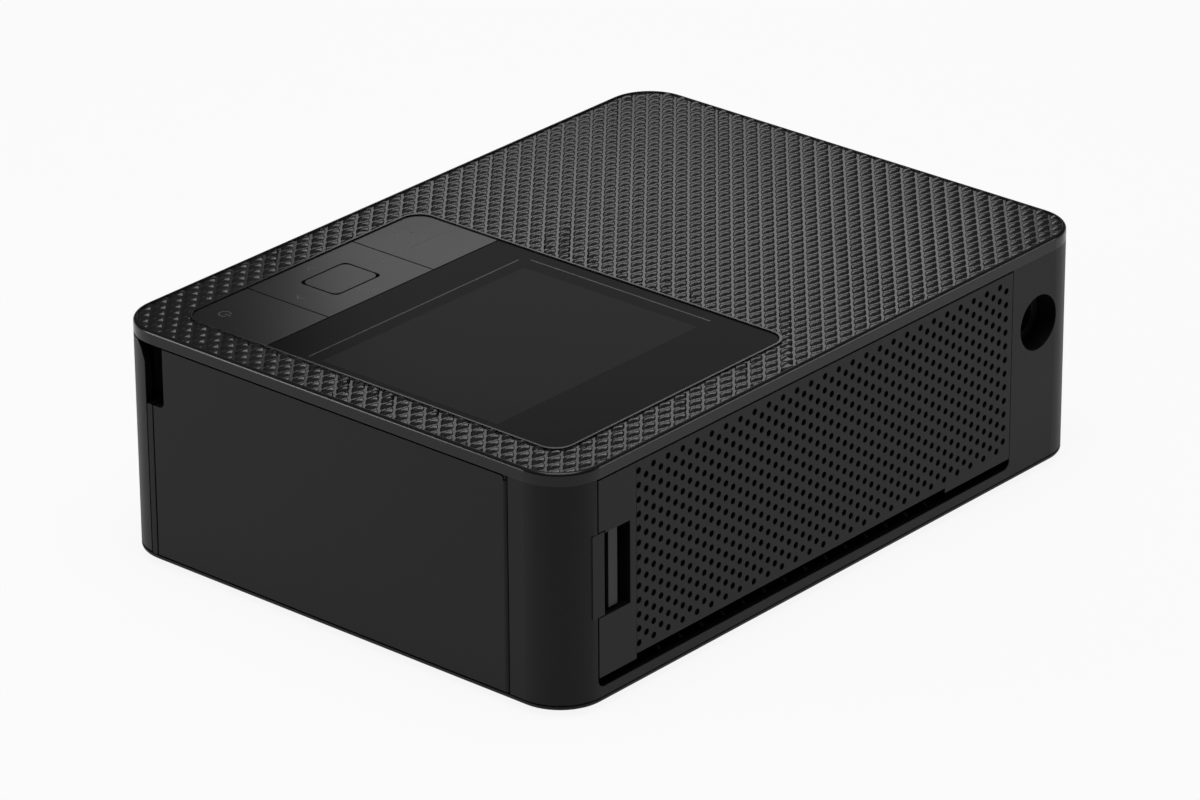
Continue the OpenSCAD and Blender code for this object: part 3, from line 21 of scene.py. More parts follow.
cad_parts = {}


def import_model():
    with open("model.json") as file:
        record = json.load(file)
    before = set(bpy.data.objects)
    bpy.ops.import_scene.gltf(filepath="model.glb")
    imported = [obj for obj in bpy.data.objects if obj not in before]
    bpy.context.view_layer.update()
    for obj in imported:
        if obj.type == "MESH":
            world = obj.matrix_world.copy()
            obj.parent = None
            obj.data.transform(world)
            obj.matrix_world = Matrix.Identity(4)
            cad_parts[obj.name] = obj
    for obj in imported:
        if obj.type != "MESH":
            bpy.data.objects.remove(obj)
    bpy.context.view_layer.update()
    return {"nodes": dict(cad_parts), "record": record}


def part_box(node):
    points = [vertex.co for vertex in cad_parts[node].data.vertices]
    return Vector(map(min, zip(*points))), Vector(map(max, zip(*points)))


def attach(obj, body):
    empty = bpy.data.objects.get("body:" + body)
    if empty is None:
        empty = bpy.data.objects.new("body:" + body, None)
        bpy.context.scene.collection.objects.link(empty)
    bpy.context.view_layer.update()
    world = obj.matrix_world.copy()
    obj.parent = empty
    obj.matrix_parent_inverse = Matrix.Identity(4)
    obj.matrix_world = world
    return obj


LOG = logging.getLogger("printer")
MM = 0.001
CASE = "case"

Colour = tuple[float, float, float]
Point = tuple[float, float, float]
Plan = tuple[float, float]


class Grain(Enum):
    """Kinds of fine surface pattern, each a shader node group."""

    SPARK = "spark_grain"
    BRUSHED = "brushed_grain"
    SPECKLE = "speckle_grain"


# ---------------------------------------------------------------- node helpers


class Wiring:
    """Adds nodes to a shader or geometry tree and joins their sockets.

    Args:
        tree: The node tree that is being built.
    """

    def __init__(self, tree: bpy.types.NodeTree) -> None:
        """Takes the tree that is to be built."""
        self.tree = tree

    def add(self, kind: str, **settings: object) -> bpy.types.Node:
        """Adds a node of a kind and sets its properties.

        Args:
            kind: The node's type name.
            settings: Properties to set on it.

        Returns:
            The new node.
        """
        node = self.tree.nodes.new(kind)
        for name, value in settings.items():
            setattr(node, name, value)
        return node

    def put(self, value: object, socket: bpy.types.NodeSocket) -> None:
        """Links a socket, or writes a plain value, into an input socket.

        Args:
            value: The output socket to link, or the value to write.
            socket: The input socket.
        """
        if isinstance(value, bpy.types.NodeSocket):
            self.tree.links.new(value, socket)
        else:
            socket.default_value = value

    def math(self, operation: str, *values: object) -> bpy.types.NodeSocket:
        """Adds a Math node.

        Args:
            operation: The Math node's operation.
            values: Its inputs, in order, as numbers or sockets.

        Returns:
            The socket that holds the result.
        """
        node = self.add("ShaderNodeMath", operation=operation)
        for value, socket in zip(values, node.inputs):
            self.put(value, socket)
        return node.outputs[0]

    def group_input(self, name: str) -> bpy.types.NodeSocket:
        """The tree's own input with that name."""
        node = next((n for n in self.tree.nodes if n.bl_idname == "NodeGroupInput"), None)
        return (node or self.add("NodeGroupInput")).outputs[name]


def new_tree(
    name: str, kind: str, sockets: Iterable[tuple[str, str, str, object]]
) -> bpy.types.NodeTree:
    """Makes an empty node tree with named inputs and outputs.

    Args:
        name: The tree's name.
        kind: Its type, shader or geometry.
        sockets: One (name, INPUT or OUTPUT, socket type, default) for each.

    Returns:
        The new tree.
    """
    tree = bpy.data.node_groups.new(name, kind)
    for title, way, socket_type, default in sockets:
        made = tree.interface.new_socket(title, in_out=way, socket_type=socket_type)
        if default is not None:
            made.default_value = default
    return tree


# ---------------------------------------------------------------- finishes

FLOAT = "NodeSocketFloat"
INTEGER = "NodeSocketInt"
BRUSH_STRETCH = (0.03, 1.0, 1.0)
CLOUD_SCALE = 28.0
MIDDLE = 0.5


def grain_group(grain: Grain) -> bpy.types.NodeTree:
    """The shader group of one grain, made once.

    Args:
        grain: Which grain.

    Returns:
        A group with the input Scale, and the outputs Height (the fine grain), Mask (the same
        round zero) and Cloud (a slow drift round zero).
    """
    known = bpy.data.node_groups.get(grain.value)
    if known:
        return known
    tree = new_tree(
        grain.value,
        "ShaderNodeTree",
        [
            ("Scale", "INPUT", FLOAT, 4000.0),
            ("Height", "OUTPUT", FLOAT, None),
            ("Mask", "OUTPUT", FLOAT, None),
            ("Cloud", "OUTPUT", FLOAT, None),
        ],
    )
    wiring = Wiring(tree)
    scale = wiring.group_input("Scale")
    place = wiring.add("ShaderNodeTexCoord").outputs["Object"]
    if grain is Grain.BRUSHED:
        stretch = wiring.add("ShaderNodeMapping")
        stretch.inputs["Scale"].default_value = BRUSH_STRETCH
        wiring.put(place, stretch.inputs["Vector"])
        place = stretch.outputs[0]
    if grain is Grain.SPECKLE:
        cells = wiring.add("ShaderNodeTexVoronoi")
        wiring.put(place, cells.inputs["Vector"])
        wiring.put(scale, cells.inputs["Scale"])
        fine = cells.outputs["Distance"]
    else:
        noise = wiring.add("ShaderNodeTexNoise")
        wiring.put(place, noise.inputs["Vector"])
        wiring.put(scale, noise.inputs["Scale"])
        noise.inputs["Detail"].default_value = 3.0
        noise.inputs["Roughness"].default_value = 0.6
        fine = noise.outputs["Fac"]
    cloud = wiring.add("ShaderNodeTexNoise")
    wiring.put(wiring.add("ShaderNodeTexCoord").outputs["Object"], cloud.inputs["Vector"])
    cloud.inputs["Scale"].default_value = CLOUD_SCALE
    cloud.inputs["Detail"].default_value = 4.0
    out = wiring.add("NodeGroupOutput")
    wiring.put(fine, out.inputs["Height"])
    wiring.put(wiring.math("SUBTRACT", fine, MIDDLE), out.inputs["Mask"])
    wiring.put(wiring.math("SUBTRACT", cloud.outputs["Fac"], MIDDLE), out.inputs["Cloud"])
    return tree


@dataclass(frozen=True)
class Finish:
    """One finish: its colour, gloss and grain.

    The spreads say how far gloss and tone drift over the surface, and edge is the radius to
    which light rounds the sharp edges.
    """

    name: str
    slot: str
    colour: Colour
    roughness: float
    metallic: float = 0.0
    specular: float = 0.5
    coat: float = 0.0
    coat_roughness: float = 0.08
    grain: Grain = Grain.SPARK
    grain_size: float = 0.30 * MM
    grain_depth: float = 0.004 * MM
    gloss_spread: float = 0.08
    tone_spread: float = 0.15
    edge: float = 0.18 * MM

    def material(self) -> bpy.types.Material:
        """The finish's material, made once.

        Returns:
            The material.
        """
        known = bpy.data.materials.get(self.name)
        if known:
            return known
        material = bpy.data.materials.new(self.name)
        material.use_nodes = True
        wiring = Wiring(material.node_tree)
        shader = material.node_tree.nodes["Principled BSDF"]
        group = wiring.add("ShaderNodeGroup", node_tree=grain_group(self.grain))
        group.inputs["Scale"].default_value = 1.0 / self.grain_size
        shader.inputs["Metallic"].default_value = self.metallic
        shader.inputs["Specular IOR Level"].default_value = self.specular
        shader.inputs["Coat Weight"].default_value = self.coat
        shader.inputs["Coat Roughness"].default_value = self.coat_roughness
        self._tone(wiring, group, shader)
        rough = self.roughness
        for drift in ("Cloud", "Mask"):
            rough = wiring.math("MULTIPLY_ADD", group.outputs[drift], self.gloss_spread, rough)
        wiring.put(rough, shader.inputs["Roughness"])
        round_edge = wiring.add("ShaderNodeBevel", samples=4)
        round_edge.inputs["Radius"].default_value = self.edge
        bump = wiring.add("ShaderNodeBump")
        wiring.put(round_edge.outputs[0], bump.inputs["Normal"])
        bump.inputs["Strength"].default_value = 1.0
        bump.inputs["Distance"].default_value = self.grain_depth
        wiring.put(group.outputs["Height"], bump.inputs["Height"])
        wiring.put(bump.outputs[0], shader.inputs["Normal"])
        return material

    def _tone(self, wiring: Wiring, group: bpy.types.Node, shader: bpy.types.Node) -> None:
        """Varies the colour a little from place to place.

        Args:
            wiring: The material's wiring.
            group: The grain's group node.
            shader: The node whose colour is set.
        """
        mix = wiring.add("ShaderNodeMix", data_type="RGBA", blend_type="MIX")
        darker = tuple(c * (1 - self.tone_spread) for c in self.colour)
        lighter = tuple(min(1.0, c * (1 + self.tone_spread)) for c in self.colour)
        mix.inputs["A"].default_value = (*darker, 1.0)
        mix.inputs["B"].default_value = (*lighter, 1.0)
        share = wiring.math("ADD", group.outputs["Cloud"], MIDDLE)
        wiring.put(share, mix.inputs["Factor"])
        wiring.put(mix.outputs["Result"], shader.inputs["Base Color"])


SATIN_BLACK = Finish("satin_black_case", "case", (0.0045, 0.0045, 0.0044), 0.42, specular=0.2)
COVER_BLACK = Finish(
    "embossed_black_cover",
    "case",
    (0.005, 0.005, 0.0049),
    0.22,
    specular=0.3,
    grain_depth=0.001 * MM,
)
WINDOW_BLACK = Finish(
    "window_black",
    "glass",
    (0.005, 0.005, 0.0051),
    0.22,
    specular=0.01,
    grain_depth=0.0,
    gloss_spread=0.03,
)
DISPLAY_DARK = Finish(
    "display_dark",
    "glass",
    (0.0125, 0.0125, 0.0122),
    0.22,
    specular=0.01,
    grain_depth=0.0,
    gloss_spread=0.03,
)
KEY_BLACK = Finish(
    "key_black", "keys", (0.013, 0.013, 0.0128), 0.22, specular=0.10, grain_depth=0.0006 * MM
)
MARK_GREY = Finish("mark_grey", "keys", (0.055, 0.055, 0.054), 0.35, specular=0.4)
# Lighter grey: painted highlight on the lines beside and in front of the display, which stand in
# for the lit walls of its recess; also the rocker's divider line.
HIGHLIGHT_AND_LINE_GREY = Finish("line_grey", "keys", (0.03, 0.03, 0.0295), 0.3, specular=0.3)
SOCKET_BLACK = Finish("socket_black", "socket", (0.010, 0.010, 0.010), 0.45, specular=0.4)
RUBBER_BLACK = Finish(
    "black_rubber", "rubber", (0.022, 0.022, 0.021), 0.75, specular=0.3, grain_depth=0.012 * MM
)
STEEL_PLATE = Finish(
    "plated_steel",
    "steel",
    (0.55, 0.56, 0.57),
    0.30,
    metallic=1.0,
    grain=Grain.BRUSHED,
    tone_spread=0.08,
)
BOARD_GREEN = Finish(
    "solder_mask",
    "board",
    (0.015, 0.12, 0.055),
    0.28,
    grain=Grain.SPECKLE,
    grain_size=1.2 * MM,
    tone_spread=0.3,
)
DISPLAY_FRAME = Finish("display_frame", "display", (0.05, 0.05, 0.055), 0.3)
ACETAL = Finish("natural_acetal", "gears", (0.74, 0.73, 0.68), 0.38, tone_spread=0.04)
BRONZE = Finish(
    "sintered_bronze", "bushes", (0.62, 0.42, 0.20), 0.42, metallic=1.0, grain=Grain.SPECKLE
)
CASSETTE_GREY = Finish("cassette_grey", "cassette", (0.07, 0.07, 0.074), 0.42)
DYE_FILM = Finish("dye_film", "film", (0.09, 0.05, 0.03), 0.12, coat=0.5, grain=Grain.BRUSHED)
HEATSINK = Finish(
    "extruded_aluminium",
    "heatsink",
    (0.72, 0.73, 0.75),
    0.33,
    metallic=1.0,
    grain=Grain.BRUSHED,
)
CERAMIC = Finish("glazed_ceramic", "ceramic", (0.7, 0.66, 0.58), 0.14, grain=Grain.SPECKLE)

SLOT_FINISH = {
    f.slot: f
    for f in (
        SATIN_BLACK,
        RUBBER_BLACK,
        STEEL_PLATE,
        WINDOW_BLACK,
        DISPLAY_FRAME,
        BOARD_GREEN,
        KEY_BLACK,
        SOCKET_BLACK,
        ACETAL,
        BRONZE,
        CASSETTE_GREY,
        DYE_FILM,
        HEATSINK,
        CERAMIC,
    )
}


# ---------------------------------------------------------------- mesh helpers

MERGE = 1e-7
LEAST_RADIUS = 0.2 * MM


def piece_from(
    name: str, mesh: bpy.types.Mesh, finish: Finish, body: str = CASE
) -> bpy.types.Object:
    """Links a mesh as a piece that rides on a body.

    Args:
        name: The piece's name.
        mesh: Its mesh, in the frame's coordinates.
        finish: The finish that it wears.
        body: The body that it rides on.

    Returns:
        The new object.
    """
    obj = bpy.data.objects.new(name, mesh)
    bpy.context.scene.collection.objects.link(obj)
    obj.data.materials.clear()
    obj.data.materials.append(finish.material())
    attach(obj, body)
    LOG.info("piece %s: %d faces on %s", name, len(mesh.polygons), body)
    return obj


def mesh_of(name: str, build: Callable[[bmesh.types.BMesh], None]) -> bpy.types.Mesh:
    """Makes a mesh with a function that fills a bmesh.

    Args:
        name: The mesh's name.
        build: Fills the bmesh.

    Returns:
        The mesh, with its normals facing outwards.
    """
    bm = bmesh.new()
    build(bm)
    bmesh.ops.remove_doubles(bm, verts=bm.verts, dist=MERGE)
    bmesh.ops.recalc_face_normals(bm, faces=bm.faces)
    mesh = bpy.data.meshes.new(name)
    bm.to_mesh(mesh)
    bm.free()
    return mesh


@dataclass(frozen=True)
class RoundedBox:
    """A rectangle in plan with rounded corners, in metres."""

    low: Plan
    high: Plan
    radius: float
    steps: int = 10

    def inset(self, gap: float) -> "RoundedBox":
        """The same outline drawn in by a gap.

        Args:
            gap: How far each side moves in.

        Returns:
            The smaller outline.
        """
        low = (self.low[0] + gap, self.low[1] + gap)
        high = (self.high[0] - gap, self.high[1] - gap)
        return RoundedBox(low, high, max(self.radius - gap, LEAST_RADIUS), self.steps)

    def outline(self) -> list[Plan]:
        """Its points in order, counter-clockwise.

        Returns:
            The points.
        """
        r = self.radius
        (x0, y0), (x1, y1) = self.low, self.high
        left, right, near, far = x0 + r, x1 - r, y0 + r, y1 - r
        centres = ((right, far), (left, far), (left, near), (right, near))
        return [
            (cx + r * math.cos(angle), cy + r * math.sin(angle))
            for quarter, (cx, cy) in enumerate(centres)
            for step in range(self.steps + 1)
            for angle in (math.pi / 2 * (quarter + step / self.steps),)
        ]


def add_slab(bm: bmesh.types.BMesh, outline: list[Plan], z0: float, z1: float) -> None:
    """Adds a closed slab with that outline between two heights.

    Args:
        bm: The bmesh that gets it.
        outline: Its outline in plan, counter-clockwise.
        z0: Its underside.
        z1: Its top.
    """
    low = [bm.verts.new((x, y, z0)) for x, y in outline]
    high = [bm.verts.new((x, y, z1)) for x, y in outline]
    bm.faces.new(low[::-1])
    bm.faces.new(high)
    for i, _ in enumerate(outline):
        j = (i + 1) % len(outline)
        bm.faces.new((low[i], low[j], high[j], high[i]))


def baked(obj: bpy.types.Object) -> bpy.types.Mesh:
    """Takes an object's evaluated mesh and removes the object.

    Args:
        obj: The object, with its modifiers live.

    Returns:
        The mesh that its modifiers gave.
    """
    bpy.context.view_layer.update()
    graph = bpy.context.evaluated_depsgraph_get()
    mesh = bpy.data.meshes.new_from_object(obj.evaluated_get(graph))
    bpy.data.objects.remove(obj)
    return mesh


# ---------------------------------------------------------------- cover


@dataclass
class EmbossedCover:
    """The top cover with its lattice of small, leaning, four-sided facets.

    The cells are diamonds whose diagonals lie along the cover's width and depth. Each holds
    four facets, which meet their neighbours in creases at the cell's sides.

    Attributes:
        pitch_x: Width of a cell.
        pitch_y: Depth of a cell.
        height: Rise of a facet's crest over its creases, which ends level with the rim.
        bed: How deep the cover's own bed lies under its rim.
        shift_x: Place of the lattice across.
        shift_y: Place of the lattice along.
        land: Smooth land round the panel.
        rim: Smooth rim round the cover.
        sink: How far the relief goes into the bed.
        foot: Depth of the relief's underside under its creases, before it is cut.
        corner: Radius of the cover's corners.
        corner_steps: Chords of a corner.
        panel_corner: Radius of the window's corners.
        reach: How far the window's cutter stands over and under, as a share of the relief.
        across: Mesh faces across a cell.
        along: Mesh faces along a cell.
        squareness: How square the facets' contour lines are.
        dome: How rounded a facet is, where 1 is flat.
        skew: Lean of the creases, in runs for each strip.
        stagger: Offset of the creases, in runs.
        crease_angle: Turn in degrees past which an edge stays sharp.
    """

    pitch_x: float = 5.16 * MM
    pitch_y: float = 4.32 * MM
    height: float = 0.42 * MM
    bed: float = 0.35 * MM
    shift_x: float = 1.21 * MM
    shift_y: float = -1.015 * MM
    land: float = 0.66 * MM
    rim: float = 0.9 * MM
    sink: float = 0.02 * MM
    foot: float = 0.43 * MM
    corner: float = 11.4 * MM
    corner_steps: int = 12
    panel_corner: float = 5.0 * MM
    reach: float = 3.0
    across: int = 6
    along: int = 6
    squareness: float = 12.0
    dome: float = 1.18
    skew: float = 0.5
    stagger: float = 0.5
    crease_angle: float = 28.0

    def build(self) -> None:
        """Lays the embossed field on the cover's node."""
        low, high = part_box("top_cover")
        glass_low, glass_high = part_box("display_glass")
        keys_low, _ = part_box("power_button")
        whole = RoundedBox((low.x, low.y), (high.x, high.y), self.corner, self.corner_steps)
        edge = whole.inset(self.rim)
        hole = RoundedBox(
            (glass_low.x - self.land, min(keys_low.y, glass_low.y) - self.land),
            (glass_high.x + self.land, glass_high.y + self.land),
            self.panel_corner,
        )
        top = high.z
        under = top - self.bed - self.sink
        clip = mesh_of(
            "emboss_clip",
            lambda bm: add_slab(bm, edge.outline(), under, top + self.height),
        )
        cut_low, cut_high = top - self.reach * self.bed, top + self.reach * self.height
        window = mesh_of(
            "emboss_window",
            lambda bm: add_slab(bm, hole.outline(), cut_low, cut_high),
        )
        span = (high.x - low.x, high.y - low.y)
        field_mesh = self._field(top - self.height, span, clip, window)
        piece_from("embossed_field", field_mesh, COVER_BLACK)

    def _field(
        self, level: float, span: Plan, clip: bpy.types.Mesh, window: bpy.types.Mesh
    ) -> bpy.types.Mesh:
        """Makes the facets as one closed relief, cut to the cover's rim and window.

        Args:
            level: Height of the creases.
            span: Width and depth of the cover.
            clip: Slab inside which the relief is kept.
            window: Slab out of which the relief is cut.

        Returns:
            The relief's mesh.
        """
        cells = math.ceil((span[0] / self.pitch_x + span[1] / self.pitch_y) / 2) * 2
        carriers = []
        for mesh in (clip, window):
            carrier = bpy.data.objects.new(mesh.name, mesh)
            bpy.context.scene.collection.objects.link(carrier)
            carriers.append(carrier)
        tree = self._tree()
        host = bpy.data.objects.new("emboss_host", bpy.data.meshes.new("emboss_host"))
        bpy.context.scene.collection.objects.link(host)
        modifier = host.modifiers.new("emboss", "NODES")
        modifier.node_group = tree
        values = {
            "Cells": cells,
            "Across": self.across,
            "Along": self.along,
            "Pitch X": self.pitch_x,
            "Pitch Y": self.pitch_y,
            "Shift X": self.shift_x,
            "Shift Y": self.shift_y,
            "Level": level,
            "Height": self.height,
            "Depth": self.foot,
            "Reach X": span[0] / 2 + self.pitch_x,
            "Reach Y": span[1] / 2 + self.pitch_y,
            "Squareness": self.squareness,
            "Dome": self.dome,
            "Skew": self.skew,
            "Stagger": self.stagger,
            "Crease": math.radians(self.crease_angle),
            "Clip": carriers[0],
            "Window": carriers[1],
            "Finish": COVER_BLACK.material(),
        }
        for item in tree.interface.items_tree:
            if item.item_type == "SOCKET" and item.name in values:
                modifier[item.identifier] = values[item.name]
        mesh = baked(host)
        for carrier in carriers:
            bpy.data.objects.remove(carrier)
        return mesh

    def _tree(self) -> bpy.types.NodeTree:
        """The geometry tree that makes the relief from its named inputs.

        Returns:
            The tree.
        """
        names = ["Pitch X", "Pitch Y", "Shift X", "Shift Y", "Level", "Height", "Depth"]
        names += ["Reach X", "Reach Y", "Squareness", "Dome", "Skew", "Stagger", "Crease"]
        sockets = [(n, "INPUT", INTEGER, 4) for n in ("Cells", "Across", "Along")]
        sockets += [(n, "INPUT", FLOAT, MM) for n in names]
        sockets += [(n, "INPUT", "NodeSocketObject", None) for n in ("Clip", "Window")]
        sockets += [("Finish", "INPUT", "NodeSocketMaterial", None)]
        sockets += [("Geometry", "OUTPUT", "NodeSocketGeometry", None)]
        tree = new_tree("embossed_lattice", "GeometryNodeTree", sockets)
        w = Wiring(tree)
        cells = w.group_input("Cells")
        grid = w.add("GeometryNodeMeshGrid")
        w.put(cells, grid.inputs["Size X"])
        w.put(cells, grid.inputs["Size Y"])
        for faces, vertices in (("Along", "Vertices X"), ("Across", "Vertices Y")):
            count = w.math("MULTIPLY_ADD", cells, w.group_input(faces), 1.0)
            w.put(count, grid.inputs[vertices])
        run, strip, _ = self._position(w)
        lean = w.math("MULTIPLY", w.math("FRACT", strip), w.group_input("Skew"))
        leaning = w.math("SUBTRACT", w.math("SUBTRACT", run, lean), w.group_input("Stagger"))
        relief = self._dome(w, strip, leaning)
        x = self._stretched(w, w.math("ADD", run, strip), "X")
        y = self._stretched(w, w.math("SUBTRACT", run, strip), "Y")
        z = w.math("MULTIPLY_ADD", relief, w.group_input("Height"), w.group_input("Level"))
        place = w.add("ShaderNodeCombineXYZ")
        for value, socket in zip((x, y, z), place.inputs):
            w.put(value, socket)
        mover = w.add("GeometryNodeSetPosition")
        w.put(grid.outputs["Mesh"], mover.inputs["Geometry"])
        w.put(place.outputs[0], mover.inputs["Position"])
        trimmed = self._trim(w, mover.outputs[0])
        solid = self._thicken(w, trimmed)
        kept = self._combine(w, "INTERSECT", solid, w.group_input("Clip"))
        cut = self._combine(w, "DIFFERENCE", kept, w.group_input("Window"))
        self._finish(w, cut)
        return tree

    @staticmethod
    def _position(w: Wiring) -> tuple[bpy.types.NodeSocket, ...]:
        """The sockets that hold a vertex's X, Y and Z.

        Args:
            w: The tree's wiring.

        Returns:
            The three sockets.
        """
        split = w.add("ShaderNodeSeparateXYZ")
        w.put(w.add("GeometryNodeInputPosition").outputs[0], split.inputs[0])
        return tuple(split.outputs)

    @staticmethod
    def _stretched(w: Wiring, way: bpy.types.NodeSocket, axis: str) -> bpy.types.NodeSocket:
        """Turns a lattice coordinate into a place on an axis.

        Args:
            w: The tree's wiring.
            way: The coordinate, in half cells.
            axis: The axis's letter.

        Returns:
            The socket that holds the place.
        """
        half = w.math("MULTIPLY", w.group_input(f"Pitch {axis}"), 0.5)
        return w.math("MULTIPLY_ADD", way, half, w.group_input(f"Shift {axis}"))

    @staticmethod
    def _dome(w: Wiring, *ways: bpy.types.NodeSocket) -> bpy.types.NodeSocket:
        """Height of a four-sided facet group, from 0 at its cell's sides to 1 in the middle.

        Args:
            w: The tree's wiring.
            ways: Two coordinates that are whole numbers on the cell's sides.

        Returns:
            The socket that holds the height.
        """
        power = w.group_input("Squareness")
        parts = []
        for way in ways:
            from_side = w.math("PINGPONG", way, 0.5)
            from_middle = w.math("MULTIPLY_ADD", from_side, -2.0, 1.0)
            parts.append(w.math("POWER", from_middle, power))
        reach = w.math("POWER", w.math("ADD", *parts), w.math("DIVIDE", 1.0, power))
        drop = w.math("POWER", w.math("MINIMUM", reach, 1.0), w.group_input("Dome"))
        return w.math("SUBTRACT", 1.0, drop)

    @staticmethod
    def _trim(w: Wiring, geometry: bpy.types.NodeSocket) -> bpy.types.NodeSocket:
        """Drops what lies well outside the cover.

        Args:
            w: The tree's wiring.
            geometry: The whole lattice.

        Returns:
            The lattice within reach.
        """
        x, y, _ = EmbossedCover._position(w)
        far = [
            w.math("GREATER_THAN", w.math("ABSOLUTE", way), w.group_input(f"Reach {axis}"))
            for way, axis in ((x, "X"), (y, "Y"))
        ]
        cutter = w.add("GeometryNodeDeleteGeometry", domain="POINT")
        w.put(geometry, cutter.inputs["Geometry"])
        w.put(w.math("MAXIMUM", *far), cutter.inputs["Selection"])
        return cutter.outputs[0]

    @staticmethod
    def _thicken(w: Wiring, geometry: bpy.types.NodeSocket) -> bpy.types.NodeSocket:
        """Gives the relief a flat underside, so that it is a closed solid.

        Args:
            w: The tree's wiring.
            geometry: The relief's skin.

        Returns:
            The solid.
        """
        extrude = w.add("GeometryNodeExtrudeMesh", mode="FACES")
        w.put(geometry, extrude.inputs["Mesh"])
        extrude.inputs["Individual"].default_value = False
        extrude.inputs["Offset Scale"].default_value = 0.0
        drop = w.add("GeometryNodeSetPosition")
        w.put(extrude.outputs["Mesh"], drop.inputs["Geometry"])
        w.put(extrude.outputs["Top"], drop.inputs["Selection"])
        x, y, _ = EmbossedCover._position(w)
        under = w.add("ShaderNodeCombineXYZ")
        z = w.math("SUBTRACT", w.group_input("Level"), w.group_input("Depth"))
        for value, socket in zip((x, y, z), under.inputs):
            w.put(value, socket)
        w.put(under.outputs[0], drop.inputs["Position"])
        under_side = w.add("GeometryNodeFlipFaces")
        w.put(geometry, under_side.inputs["Mesh"])
        join = w.add("GeometryNodeJoinGeometry")
        w.put(drop.outputs[0], join.inputs[0])
        w.put(under_side.outputs[0], join.inputs[0])
        merge = w.add("GeometryNodeMergeByDistance")
        merge.inputs["Distance"].default_value = MERGE
        w.put(join.outputs[0], merge.inputs["Geometry"])
        outwards = w.add("GeometryNodeFlipFaces")
        w.put(merge.outputs[0], outwards.inputs["Mesh"])
        return outwards.outputs[0]

    @staticmethod
    def _combine(
        w: Wiring, operation: str, geometry: bpy.types.NodeSocket, other: bpy.types.NodeSocket
    ) -> bpy.types.NodeSocket:
        """Joins a solid with a carrier object's solid by an operation.

        Args:
            w: The tree's wiring.
            operation: INTERSECT, or DIFFERENCE to cut the carrier's solid out.
            geometry: The solid.
            other: The socket that holds the carrier.

        Returns:
            The joined solid.
        """
        info = w.add("GeometryNodeObjectInfo")
        w.put(other, info.inputs["Object"])
        boolean = w.add("GeometryNodeMeshBoolean", operation=operation, solver="MANIFOLD")
        first, second = boolean.inputs[:2]
        w.put(geometry, first if operation == "DIFFERENCE" else second)
        w.put(info.outputs["Geometry"], second)
        return boolean.outputs["Mesh"]

    @staticmethod
    def _finish(w: Wiring, geometry: bpy.types.NodeSocket) -> None:
        """Shades the relief smooth between its creases and gives it its finish.

        Args:
            w: The tree's wiring.
            geometry: The relief, cut to shape.
        """
        smooth = w.add("GeometryNodeSetShadeSmooth", domain="FACE")
        w.put(geometry, smooth.inputs["Geometry"])
        crease = w.add("GeometryNodeSetShadeSmooth", domain="EDGE")
        w.put(smooth.outputs[0], crease.inputs["Geometry"])
        angle = w.add("GeometryNodeInputMeshEdgeAngle").outputs["Unsigned Angle"]
        w.put(w.math("GREATER_THAN", angle, w.group_input("Crease")), crease.inputs["Selection"])
        crease.inputs["Shade Smooth"].default_value = False
        real = w.add("GeometryNodeRealizeInstances")
        w.put(crease.outputs[0], real.inputs["Geometry"])
        dress = w.add("GeometryNodeSetMaterial")
        w.put(real.outputs[0], dress.inputs["Geometry"])
        w.put(w.group_input("Finish"), dress.inputs["Material"])
        out = w.add("NodeGroupOutput")
        w.put(dress.outputs[0], out.inputs["Geometry"])


# ---------------------------------------------------------------- panel and keys


@dataclass(frozen=True)
class Stroke:
    """A line through points in plan, in millimetres, for print and for painted highlights."""

    points: tuple[Plan, ...]
    width: float = 0.35

    def outline(self) -> list[Plan]:
        """The line's closed outline, in metres.

        Returns:
            Its points, down one side and back up the other.
        """
        left, right = [], []
        for i, point in enumerate(self.points):
            before = Vector(self.points[max(i - 1, 0)])
            after = Vector(self.points[min(i + 1, len(self.points) - 1)])
            way = (after - before).normalized()
            side = Vector((-way.y, way.x)) * self.width / 2
            left.append(tuple((Vector(point) + side) * MM))
            right.append(tuple((Vector(point) - side) * MM))
        return right + left[::-1]


def arc(
    centre: Plan, radius: float, start: float, stop: float, steps: int = 16
) -> tuple[Plan, ...]:
    """Points of an arc in plan.

    Args:
        centre: Its centre, in millimetres.
        radius: Radius, in millimetres.
        start: First angle, in degrees.
        stop: Last angle, in degrees.
        steps: How many chords.

    Returns:
        The points in order.
    """
    x, y = centre
    angles = (math.radians(start + (stop - start) * i / steps) for i in range(steps + 1))
    return tuple((x + radius * math.cos(a), y + radius * math.sin(a)) for a in angles)


@dataclass
class PrintAndHighlight:
    """Thin strips laid on the flat top of a node: print, the display area and painted highlight
    lines.

    Attributes:
        name: Its name.
        node: The node whose top it lies on.
        body: The body that it rides on.
        finish: The finish that it wears.
        strokes: Its lines.
        thick: Its thickness.
        proud: How far it stands over the node.
    """

    name: str
    node: str
    body: str
    finish: Finish
    strokes: tuple[Stroke, ...]
    thick: float = 0.03 * MM
    proud: float = 0.012 * MM

    def build(self) -> None:
        """Lays the strips on its node."""
        _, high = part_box(self.node)
        top = high.z + self.proud

        def fill(bm: bmesh.types.BMesh) -> None:
            """Adds a slab for each line."""
            for stroke in self.strokes:
                add_slab(bm, stroke.outline(), top - self.thick, top)

        piece_from(self.name, mesh_of(self.name, fill), self.finish, self.body)


